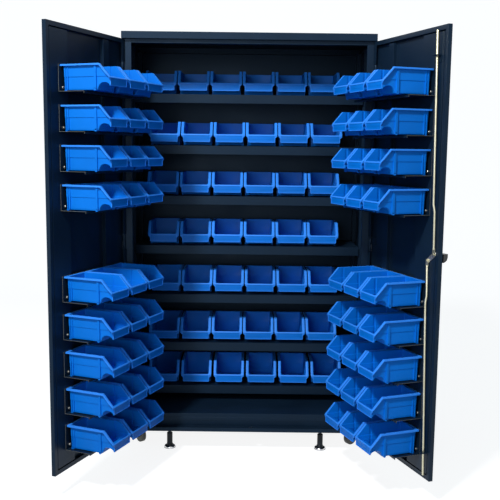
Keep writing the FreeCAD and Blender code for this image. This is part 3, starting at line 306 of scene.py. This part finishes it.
def bin_shape(kind):
    """A whole bin as one closed skin of rings: up the outside, out under the rim, down and up its turned band,
    over and down the inside to the floor. The arch is a quarter ellipse in both skins."""
    sizes = bin_sizes[kind]
    length, width, height = sizes["length"], sizes["width"], sizes["height"]
    rim_half, wall = width / 2, width / 2 - rim_width
    low, seam = wall - bin_step, seam_share * height
    over_rim, face_back = 0.01, 0.0014
    arch, top, face = sizes["lip_bottom"] + arch_rise, height + over_rim, length - face_back
    rear_low, rear = 0.0135, 0.0120
    ribs = dict(broad=broad_rib, thin=thin_rib)
    deep_ribs = dict(broad=broad_rib + bin_step, thin=thin_rib + bin_step)
    foot_y, head_y = 0.1765, 0.2090

    def arch_y(level, setback):
        """How far forward the arch stands at a level z: an ellipse's quarter, y = foot + (head - foot) *
        (1 - sqrt(1 - (z / arch) ** 2)), moved back by the floor's wall."""
        share = min(1.0, level / arch)
        return foot_y - setback + (head_y - foot_y) * (1 - math.sqrt(1 - share * share))

    # The sole and its rounded edge, then the arch under the lip.
    rings = [
        bin_ring(sizes, sole, low - 0.0030, rear_low + 0.0030, foot_y - 0.003, **deep_ribs),
        bin_ring(sizes, sole + 0.0006, low - 0.0008, rear_low + 0.0008, foot_y - 0.001, **deep_ribs),
        bin_ring(sizes, sole + 0.0024, low, rear_low, arch_y(sole, 0), **deep_ribs),
    ]
    for share in (0.45, 0.65, 0.80, 0.90, 0.96, 0.995):
        rings.append(bin_ring(sizes, share * arch, low, rear_low, arch_y(share * arch, 0), **deep_ribs))
    # The low wall up to the seam step, the high wall to the rim, its turned band outside and in, and the way down
    # inside to the floor behind the lip.
    rings += [
        bin_ring(sizes, arch, low, rear_low, face, corner=0.002, **deep_ribs),
        bin_ring(sizes, seam - 0.0008, low, rear_low, face, 0.003, corner=0.002, **deep_ribs),
        bin_ring(sizes, seam, wall, rear_low, face, 0.003, corner=0.002, **ribs),
        bin_ring(sizes, top, wall, rear, face, 0.0028, corner=0.002, **ribs),
        bin_ring(sizes, top, rim_half - 0.0020, 0.0020, face, 0.0030, corner=0.003),
        bin_ring(sizes, top, rim_half - 0.0019, 0.0019, face, rim_band - 0.0003, 0.0032, corner=0.003),
        bin_ring(sizes, top, rim_half - 0.0006, 0.0006, length - 0.0006, rim_band, 0.0036),
        bin_ring(sizes, top, rim_half, 0.0, length, rim_band - 0.0006, 0.0030),
        bin_ring(sizes, top, rim_half, 0.0, length, 0.0010),
        bin_ring(sizes, top, rim_half - 0.0010, 0.0010, length - 0.0010),
        bin_ring(sizes, top, wall - bin_wall + 0.0010, rear + bin_wall - 0.0010, length - 0.0030,
                 broad=divider_groove),
        bin_ring(sizes, top, wall - bin_wall, rear + bin_wall, length - 0.0038, 0.0010, broad=divider_groove),
        bin_ring(sizes, seam + 0.0022, wall - bin_wall, rear + bin_wall, length - 0.0038, 0.0010,
                 broad=divider_groove),
        bin_ring(sizes, seam + 0.0010, low - bin_wall, rear + bin_wall, length - 0.0038, 0.0012,
                 broad=divider_groove),
        bin_ring(sizes, arch + 0.0055, low - bin_wall, rear + bin_wall, length - 0.0040, broad=divider_groove),
        bin_ring(sizes, arch + 0.0028, low - bin_wall - 0.001, rear + bin_wall, length - 0.0070,
                 broad=divider_groove),
    ]
    # The inside of the arch and the floor with its rounded edge.
    for share in (0.995, 0.94, 0.82, 0.62, 0.42):
        rings.append(bin_ring(sizes, share * arch + 0.0026, low - bin_wall, rear + bin_wall,
                              arch_y(share * arch, 0.0030), broad=divider_groove))
    rings += [
        bin_ring(sizes, sole + 0.0040, low - bin_wall - 0.0004, rear + bin_wall + 0.0004, foot_y - 0.0048,
                 broad=divider_groove),
        bin_ring(sizes, sole + 0.0026, low - bin_wall - 0.0024, rear + bin_wall + 0.0024, foot_y - 0.0070,
                 broad=divider_groove),
    ]
    count, rows = len(rings[0]), len(rings)
    here = np.arange(count)
    around = np.stack([here, (here + 1) % count, (here + 1) % count + count, here + count], 1)
    faces = [tuple(f) for f in np.concatenate([around + r * count for r in range(rows - 1)])]
    faces += [tuple(here[::-1]), tuple((rows - 1) * count + here)]
    # Painted highlight on the rim band's rows.
    highlight_share = np.zeros(len(faces))
    highlight_share[first_rim_row * count:last_rim_row * count] = 1.0
    return np.concatenate(rings), faces, highlight_share, dict(low=low, wall=wall, rim_half=rim_half, arch=arch, face=face)


def bar(outline, axis, start, end):
    """A closed bar: an outline in the two other axes, carried from start to end along one axis."""
    outline = np.asarray(outline, float)
    count = len(outline)
    points = np.concatenate([np.insert(outline, axis, place, axis=1) for place in (start, end)])
    here = np.arange(count)
    after = (here + 1) % count
    faces = [tuple(f) for f in np.stack([here, after, after + count, here + count], 1)]
    faces += [tuple(here[::-1]), tuple(here + count)]
    return points, faces


def bin_fittings(kind, facts):
    """What stands on the skin, as closed bars: the hooked grip lip and the bead round its face, the ears beside
    it, two small feet at the rear and the rounded foot of each broad rib."""
    sizes = bin_sizes[kind]
    length, lip_top, lip_bottom = sizes["length"], sizes["lip_top"], sizes["lip_bottom"]
    low, wall, rim_half, arch, face = (facts[name] for name in ("low", "wall", "rim_half", "arch", "face"))
    hook_start, hook_reach, hook_low, inset, skin = 0.2080, 0.0265, 0.2358, 0.0003, 0.001
    bead, shoulder = 0.0030, lip_top - 0.0160
    pad_near, pad_far, pad_width = 0.0165, 0.0265, 0.006
    nose_y, nose_z, nose_radius, nose_top = 0.1672, 0.0062, 0.0058, 0.012
    turn = np.linspace(0, np.pi / 2, 6)
    bend = np.stack([hook_start + hook_reach * np.sin(turn), lip_bottom + (arch - lip_bottom) * np.cos(turn)], 1)
    hook = np.concatenate([bend, [[hook_low, lip_bottom - skin], [length - 0.0012, lip_bottom - 0.0006],
                                  [face, lip_bottom + skin], [face, arch + skin], [hook_start, arch + skin]]])
    # The last number of each bar is its share of painted highlight.
    parts = [bar(hook, 0, inset - wall, wall - inset) + (0.0,)]
    parts.append(bar([(face - skin, lip_bottom), (length - 0.0002, lip_bottom + 0.0004),
                      (length - 0.0002, lip_bottom + bead), (face - skin, lip_bottom + bead)], 0, -wall, wall)
                 + (1.0,))
    for sign in (-1, 1):
        upright = [(sign * (wall - bead), face - skin), (sign * (wall - bead), length - 0.0002),
                   (sign * wall, length - 0.0002), (sign * wall, face - skin)]
        parts.append(bar(upright, 2, lip_bottom + 0.0004, lip_top - 0.002) + (1.0,))
        ear = [(sign * (wall - 0.002), lip_top - 0.002), (sign * (rim_half - 0.0005), lip_top - 0.002),
               (sign * (rim_half - 0.0005), lip_top - 0.0046), (sign * (wall - inset), shoulder),
               (sign * (wall - 0.002), shoulder)]
        parts.append(bar(ear, 1, length - 0.0030, length - 0.0004) + (0.6,))
        pad = [(sign * (low - pad_width), pad_near), (sign * (low + thin_rib), pad_near),
               (sign * (low + thin_rib), pad_far), (sign * (low - pad_width), pad_far)]
        parts.append(bar(pad, 2, 0.0004, sole + 0.003) + (0.0,))
        around = np.linspace(np.pi, 2 * np.pi, 9)
        nose = np.stack([nose_y + nose_radius * np.cos(around), nose_z + nose_radius * np.sin(around)], 1)
        nose = np.concatenate([nose, [[nose_y + nose_radius, nose_top], [nose_y - nose_radius, nose_top]]])
        inner, outer = sorted((sign * (low - 0.003), sign * (wall + broad_rib)))
        parts.append(bar(nose, 0, inner, outer) + (0.3,))
    return parts


def hopper_bin(kind):
    """One bin, cleaned: skin and fittings in one mesh, doubles merged and faces turned outwards. Gives points,
    faces and the share of painted highlight on each face."""
    merge_gap, most_corners = 2e-5, 4
    points, faces, highlight_share, facts = bin_shape(kind)
    for more, corners, bright in bin_fittings(kind, facts):
        faces += [tuple(i + len(points) for i in c) for c in corners]
        points = np.concatenate([points, more])
        highlight_share = np.append(highlight_share, np.full(len(corners), bright))
    mesh = bpy.data.meshes.new(kind + "_bin_draft")
    mesh.from_pydata(points.tolist(), [], faces)
    mesh.attributes.new("cut_edge", "FLOAT", "FACE").data.foreach_set("value", highlight_share.astype(np.float32))
    shape = bmesh.new()
    shape.from_mesh(mesh)
    bmesh.ops.remove_doubles(shape, verts=shape.verts, dist=merge_gap)
    bmesh.ops.dissolve_degenerate(shape, edges=shape.edges, dist=merge_gap)
    bmesh.ops.recalc_face_normals(shape, faces=shape.faces)
    bmesh.ops.triangulate(shape, faces=[f for f in shape.faces if len(f.verts) > most_corners])
    shape.verts.index_update()
    points = np.array([v.co for v in shape.verts])
    faces = [[v.index for v in f.verts] for f in shape.faces]
    mask = shape.faces.layers.float["cut_edge"]
    highlight_share = np.array([f[mask] for f in shape.faces])
    shape.free()
    bpy.data.meshes.remove(mesh)
    return points, faces, highlight_share


def plastic():
    """Blue polypropylene: a soft moulded gloss, each bin a shade of its own, and painted highlight on its edges.
    """
    darkest, lightest = 0.92, 1.06
    material = finish("bin_plastic", bin_colour, second_bin_colour, roughness=0.46, rough_spread=0.07, grain=700.0,
                      wave=9.0, bump=0.05, specular=0.16, edge_highlight=bin_edge_highlight)
    tree = material.node_tree
    shader = tree.nodes["Principled BSDF"]
    batch = tree.nodes.new("ShaderNodeAttribute")
    batch.attribute_name = "batch"
    tint = tree.nodes.new("ShaderNodeHueSaturation")
    wire(tree, (spread(tree, (batch, "Fac"), 0.0, 1.0, darkest, lightest), 0), (tint, "Value"))
    base = shader.inputs["Base Color"].links[0].from_socket
    tree.links.new(base, tint.inputs["Color"])
    wire(tree, (tint, "Color"), (shader, "Base Color"))
    return material


plastic_material = plastic()
chance = np.random.default_rng(7)
most_lean, sharp_corner = 0.35, math.radians(38)


def set_of_bins(node, kind, spots, side=None):
    """Every bin of one node in a single mesh. Each spot is (x, y, z, way): way -1 turns a bin to face -Y.
    A bin stands a hair off square, as loose bins do."""
    points, faces, highlight_share = bin_masters[kind]
    everything, corners, batches = [], [], []
    for index, (x, y, z, way) in enumerate(spots):
        lean = math.radians(chance.uniform(-most_lean, most_lean))
        middle = np.array([0.0, bin_sizes[kind]["length"] / 2, 0.0])
        turn = np.array([[math.cos(lean), -math.sin(lean), 0], [math.sin(lean), math.cos(lean), 0], [0, 0, 1]])
        placed = (points - middle) @ turn.T + middle
        placed = placed * np.array([way, way, 1.0]) + np.array([x, y, z])
        if side:
            placed = door_to_frame(side, placed)
        corners += [tuple(i + index * len(points) for i in f) for f in faces]
        everything.append(placed)
        batches.append(np.full(len(points), chance.uniform(0, 1)))
    mesh = bpy.data.meshes.new(node + "_moulded")
    mesh.from_pydata(np.concatenate(everything).tolist(), [], corners)
    layer = mesh.attributes.new("batch", "FLOAT", "POINT")
    layer.data.foreach_set("value", np.concatenate(batches).astype(np.float32))
    # The painted highlight mask, the same on every bin.
    edges = mesh.attributes.new("cut_edge", "FLOAT", "FACE")
    edges.data.foreach_set("value", np.tile(highlight_share, len(spots)).astype(np.float32))
    mesh.shade_smooth()
    mesh.set_sharp_from_angle(angle=sharp_corner)
    mesh.materials.append(plastic_material)
    piece = bpy.data.objects.new(node + "_moulded", mesh)
    bpy.context.scene.collection.objects.link(piece)
    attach(piece, node)
    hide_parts(node)
    return piece


bin_masters = {kind: hopper_bin(kind) for kind in bin_sizes}

# Where they stand: six to a shelf, each row as loosely centred as in the photograph, and on each door three to a
# tray, five rows below the lock and four above it.
bins_to_shelf, bins_to_tray, shelf_bin_rear, shelf_bin_lift = 6, 3, 0.495, 0.0003
row_offsets = (-0.034, -0.016, -0.024, -0.022, -0.013, -0.020, -0.005)
ground_gap, top_shelf_rise, low_shelf_rise, shelf_spacing = 0.110, 1.707, 0.165, 0.261
shelf_tops = [ground_gap + top_shelf_rise - shelf_spacing * i for i in range(shelf_count - 1)]
shelf_tops.append(ground_gap + low_shelf_rise)
shelf_bin_pitch, low_shelf_bin_pitch = 0.168, 0.175
door_bin_start, door_bin_pitch, off_door, tray_spacing = 0.052, 0.157, 0.0113, 0.167
first_on_tray = door_bin_start + bin_sizes["door"]["width"] / 2
door_blocks = (("lower", 0.208, 5), ("upper", 1.273, 4))
for number, (offset, top) in enumerate(zip(row_offsets, shelf_tops), start=1):
    pitch = low_shelf_bin_pitch if number == shelf_count else shelf_bin_pitch
    set_of_bins(f"shelf_{number}_bins", "shelf",
                [(offset + pitch * (i - (bins_to_shelf - 1) / 2), shelf_bin_rear, top + shelf_bin_lift, -1)
                 for i in range(bins_to_shelf)])
for side, way in (("left", 1), ("right", -1)):
    for part, low_row, rows in door_blocks:
        set_of_bins(f"{side}_{part}_bins", "door",
                    [(way * (first_on_tray + door_bin_pitch * i), off_door, low_row + tray_spacing * row, 1)
                     for row in range(rows) for i in range(bins_to_tray)], side)


# Lock: a zinc-plated cam and yellow-plated, flat-ended rods in guides on the lock channel, a cast housing and a
# turning handle outside.
rod_colour, second_rod_colour = (0.55, 0.52, 0.36, 1.0), (0.66, 0.63, 0.47, 1.0)
handle_colour, second_handle_colour = (0.008, 0.009, 0.011, 1.0), (0.014, 0.015, 0.018, 1.0)
rod_edge, handle_round, housing_edge = 0.0004, 0.002, 0.0006
yellow_zinc = finish("yellow_zinc", rod_colour, second_rod_colour, roughness=0.36, rough_spread=0.08, metallic=0.8,
                     grain=500.0, wave=24.0, bump=0.08)
folded("lock_cam", zinc_material, rod_edge)
for node in ("upper_rod", "lower_rod"):
    folded(node, yellow_zinc, rod_edge)
folded("rod_guides", coat_material, rod_edge)
handle_material = finish("handle_paint", handle_colour, second_handle_colour, roughness=0.24, rough_spread=0.06,
                         grain=800.0, wave=30.0, bump=0.08, specular=0.6)
folded("handle", handle_material, handle_round, segments=3)
folded("lock_housing", handle_material, housing_edge)


# Hinges: three to a door, painted with the cabinet. A thin plate closes the notch in the door's skin beside each
# knuckle, and a tab stands out from the cabinet's side behind it.
hinge_edge, hinge_heights, plate_half, tab_half = 0.0008, (0.253, 1.084, 1.915), 0.0358, 0.0440
plate_near, plate_far, plate_outside, plate_inside = 0.0034, 0.0175, -0.0094, -0.0084
tab_start, tab_end, tab_front, tab_back = 0.6085, 0.6205, 0.0002, 0.0014
for node in ("frame_hinge_leaves", "left_door_hinges", "right_door_hinges"):
    folded(node, coat_material, hinge_edge)


def hinge_strips(name, near, far, front, back, half, node, side=None):
    """Closed bars of a rectangle (near to far, front to back) carried up past each hinge, half above and half
    below it; with a side they stand in its door's frame."""
    outline = [(near, front), (far, front), (far, back), (near, back)][::1 if far > near else -1]
    points, faces = [], []
    for height in hinge_heights:
        more, corners = bar(outline, 2, height - half, height + half)
        faces += [tuple(i + len(points) for i in c) for c in corners]
        points += (door_to_frame(side, more) if side else more).tolist()
    mesh = bpy.data.meshes.new(name)
    mesh.from_pydata(points, [], faces)
    mesh.materials.append(coat_material)
    piece = bpy.data.objects.new(name, mesh)
    bpy.context.scene.collection.objects.link(piece)
    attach(piece, nodes[node]["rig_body"])
    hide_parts(node)
    return piece


for side, sign in (("left", 1), ("right", -1)):
    hinge_strips(side + "_notch_plates", sign * plate_near, sign * plate_far, plate_outside, plate_inside,
                 plate_half, side + "_door", side)
    hinge_strips(side + "_side_tabs", -sign * tab_start, -sign * tab_end, tab_front, tab_back, tab_half,
                 "frame_hinge_leaves")


# Levelling feet: a domed, chrome-plated pad with a ball socket, and a black column that narrows to its stud. The
# stud screws into a zinc-plated hexagon nut under the base rail.
foot_across, foot_rows = 0.390, {"front": 0.065, "rear": 0.567}
column_colour, second_column_colour = (0.0045, 0.0075, 0.0120, 1.0), (0.0060, 0.0100, 0.0150, 1.0)
chrome_colour, second_chrome_colour = (0.66, 0.67, 0.69, 1.0), (0.74, 0.75, 0.76, 1.0)
column_material = finish("foot_column", column_colour, second_column_colour, roughness=0.40, grain=800.0,
                         wave=30.0, bump=0.08, specular=0.22)
chrome_material = finish("chrome_plate", chrome_colour, second_chrome_colour, roughness=0.16, rough_spread=0.05,
                         metallic=1.0, grain=300.0, wave=20.0, bump=0.03)
dome_neck, dome_reach, dome_base, dome_rise, dome_turn, dome_steps = 0.0205, 0.0095, 0.0050, 0.0090, 1.45, 8
dome = [(dome_neck + dome_reach * math.cos(a), dome_base + dome_rise * math.sin(a))
        for a in np.linspace(0.0, dome_turn, dome_steps)]
pad_profile = [(0, 0), (0.0305, 0), (0.0313, 0.0006), (0.0315, 0.0018), (0.0313, 0.0036), *dome, (0.0175, 0.0146),
               (0.0165, 0.0150), (0, 0.0150)]
column_profile = [(0, 0.0148), (0.0158, 0.0148), (0.0165, 0.0158), (0.0165, 0.0210), (0.0145, 0.0232),
                  (0.0145, 0.0788), (0.0137, 0.0798), (0.0080, 0.0800), (0.0080, 0.1290), (0, 0.1290)]


def turned(name, profile, x, y, material, node):
    """A profile of (radius, height) carried once round the standing axis at x, y, as (x + r cos a, y + r sin a,
    h); it starts and ends on the axis."""
    steps, sharp_turning = 48, math.radians(35)
    angle = np.linspace(0, 2 * np.pi, steps, endpoint=False)
    profile = np.array(profile)
    radius, height = profile[1:-1, :1], profile[1:-1, 1:]
    rows = len(radius)
    rings = np.stack([x + radius * np.cos(angle), y + radius * np.sin(angle), np.repeat(height, steps, axis=1)], 2)
    points = np.concatenate([rings.reshape(-1, 3), [[x, y, profile[0, 1]], [x, y, profile[-1, 1]]]])
    here = np.arange(steps)
    after = (here + 1) % steps
    around = np.stack([here, after, after + steps, here + steps], 1)
    last, low_end, high_end = (rows - 1) * steps, np.full(steps, rows * steps), np.full(steps, rows * steps + 1)
    faces = [tuple(f) for f in np.concatenate([around + r * steps for r in range(rows - 1)])]
    faces += [tuple(f) for f in np.stack([low_end, after, here], 1)]
    faces += [tuple(f) for f in np.stack([high_end, last + here, last + after], 1)]
    mesh = bpy.data.meshes.new(name)
    mesh.from_pydata(points.tolist(), [], faces)
    mesh.shade_smooth()
    mesh.set_sharp_from_angle(angle=sharp_turning)
    mesh.materials.append(material)
    piece = bpy.data.objects.new(name, mesh)
    bpy.context.scene.collection.objects.link(piece)
    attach(piece, nodes[node]["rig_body"])
    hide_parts(node)
    return piece


for end, y in foot_rows.items():
    for side, x in (("left", -foot_across), ("right", foot_across)):
        node = f"{end}_{side}_foot"
        turned(node + "_pad", pad_profile, x, y, chrome_material, node)
        turned(node + "_column", column_profile, x, y, column_material, node)
nut_edge = 0.0006
folded("foot_nuts", zinc_material, nut_edge)


# Casters: painted plates and forks, swivelling in front and fixed at the rear, with rubber-tyred wheels whose
# edges are well rounded. The wheels at the left are grey with dust.
dust_colour, second_dust_colour = (0.15, 0.14, 0.12, 1.0), (0.22, 0.20, 0.17, 1.0)
rubber_colour, second_rubber_colour = (0.016, 0.015, 0.014, 1.0), (0.030, 0.028, 0.025, 1.0)
fork_edge, tyre_round = 0.0004, 0.0030
for node in ("caster_plates", "rear_caster_forks", "front_left_fork", "front_right_fork"):
    folded(node, coat_material, fork_edge)
dusty_rubber = finish("dusty_rubber", dust_colour, second_dust_colour, roughness=0.62, grain=600.0, wave=40.0,
                      bump=0.1)
dark_rubber = finish("dark_rubber", rubber_colour, second_rubber_colour, roughness=0.36, grain=600.0, wave=40.0,
                     bump=0.1)
for end in ("front", "rear"):
    folded(f"{end}_left_wheel", dusty_rubber, tyre_round, segments=4)
    folded(f"{end}_right_wheel", dark_rubber, tyre_round, segments=4)


# Studio: a white floor that runs up behind into a backdrop. One small lamp stands high to the left of the camera,
# as the photograph's shade shows, with a broad weak one farther off and a dim bluish world.
paper_colour, paper_roughness, paper_glow = (0.30, 0.30, 0.31, 1.0), 0.9, 0.88
floor_front, rise_start, rise_radius, wall_top, half_across = -7.0, 4.0, 2.0, 9.0, 9.0
lamps_aim = (0.0, 0.0, 1.0)
key_place, key_size, key_power = (-1.50, -3.30, 4.50), (0.5, 0.5), 225.0
fill_place, fill_size, fill_power = (-1.6, -5.8, 2.2), (2.4, 2.4), 70.0
sky_colour, sky_strength, white, white_strength = (0.50, 0.84, 1.0, 1.0), 0.30, (1.0, 1.0, 1.0, 1.0), 1.0


def white_to_view(tree, shader, kind, strength):
    """What the camera sees directly, in polish or through glass is a light node of this kind; the rest is
    shader. Gives the light and the mix of both."""
    path = tree.nodes.new("ShaderNodeLightPath")
    seen = (path, "Is Camera Ray")
    for label in ("Is Glossy Ray", "Is Transmission Ray"):
        either = tree.nodes.new("ShaderNodeMath")
        either.operation = "MAXIMUM"
        wire(tree, seen, (either, 0))
        wire(tree, (path, label), (either, 1))
        seen = (either, 0)
    light = tree.nodes.new(kind)
    light.inputs["Strength"].default_value = strength
    mix = tree.nodes.new("ShaderNodeMixShader")
    wire(tree, seen, (mix, 0))
    wire(tree, (shader, 0), (mix, 1))
    return light, mix


def backdrop():
    """A floor with a curved rise behind: a profile in Y and Z, flat, a quarter circle and upright, carried
    across X."""
    turn = np.linspace(0, np.pi / 2, 12)
    curve = np.stack([rise_start + rise_radius * np.sin(turn), rise_radius - rise_radius * np.cos(turn)], 1)
    profile = np.concatenate([[[floor_front, 0.0]], curve, [[rise_start + rise_radius, wall_top]]])
    points = np.concatenate([np.insert(profile, 0, x, axis=1) for x in (-half_across, half_across)])
    count = len(profile)
    faces = [(i, i + 1, i + 1 + count, i + count) for i in range(count - 1)]
    mesh = bpy.data.meshes.new("backdrop")
    mesh.from_pydata(points.tolist(), [], faces)
    mesh.shade_smooth()
    sheet = bpy.data.objects.new("backdrop", mesh)
    bpy.context.scene.collection.objects.link(sheet)
    paper = bpy.data.materials.new("paper")
    paper.use_nodes = True
    tree = paper.node_tree
    dull = tree.nodes["Principled BSDF"]
    dull.inputs["Base Color"].default_value = paper_colour
    dull.inputs["Roughness"].default_value = paper_roughness
    dull.inputs["Specular IOR Level"].default_value = 0.0
    light, mix = white_to_view(tree, dull, "ShaderNodeEmission", paper_glow)
    both = tree.nodes.new("ShaderNodeAddShader")
    wire(tree, (dull, 0), (both, 0))
    wire(tree, (light, 0), (both, 1))
    wire(tree, (both, 0), (mix, 2))
    wire(tree, (mix, 0), (tree.nodes["Material Output"], "Surface"))
    mesh.materials.append(paper)


backdrop()


def softbox(name, place, size, power):
    """A rectangular area lamp that looks at the middle of the cabinet."""
    lamp = bpy.data.lights.new(name, "AREA")
    lamp.shape = "RECTANGLE"
    lamp.size, lamp.size_y = size
    lamp.energy = power
    holder = bpy.data.objects.new(name, lamp)
    bpy.context.scene.collection.objects.link(holder)
    holder.location = place
    holder.rotation_euler = (Vector(lamps_aim) - Vector(place)).to_track_quat("-Z", "Y").to_euler()


softbox("key", key_place, key_size, key_power)
softbox("fill", fill_place, fill_size, fill_power)
world = bpy.data.worlds.new("studio")
bpy.context.scene.world = world
world.use_nodes = True
dim = world.node_tree.nodes["Background"]
dim.inputs["Color"].default_value = sky_colour
dim.inputs["Strength"].default_value = sky_strength
glow, world_mix = white_to_view(world.node_tree, dim, "ShaderNodeBackground", white_strength)
glow.inputs["Color"].default_value = white
wire(world.node_tree, (glow, 0), (world_mix, 2))
wire(world.node_tree, (world_mix, 0), (world.node_tree.nodes["World Output"], "Surface"))


# Camera: at the eye height of someone in front of the open cabinet, looking a little down.
sensor_width, focal_share, view_reach = 36.0, 774.83 / 500.0, 60.0
pitch, roll, camera_place = 0.130803, 0.011905, (0.0149, -3.7978, 1.5466)
camera = bpy.data.cameras.new("camera")
holder = bpy.data.objects.new("camera", camera)
bpy.context.scene.collection.objects.link(holder)
camera.sensor_width = sensor_width
camera.lens = sensor_width * focal_share
camera.clip_end = view_reach
right = np.array([1.0, 0.0, 0.0])
up = np.array([0.0, math.sin(pitch), math.cos(pitch)])
ahead = np.array([0.0, math.cos(pitch), -math.sin(pitch)])
rolled_right = right * math.cos(roll) + up * math.sin(roll)
rolled_up = up * math.cos(roll) - right * math.sin(roll)
matrix = np.eye(4)
matrix[:3, 0], matrix[:3, 1], matrix[:3, 2] = rolled_right, rolled_up, -ahead
matrix[:3, 3] = camera_place
holder.matrix_world = Matrix(matrix.tolist())
bpy.context.scene.camera = holder
bpy.context.scene.view_settings.view_transform = "Standard"
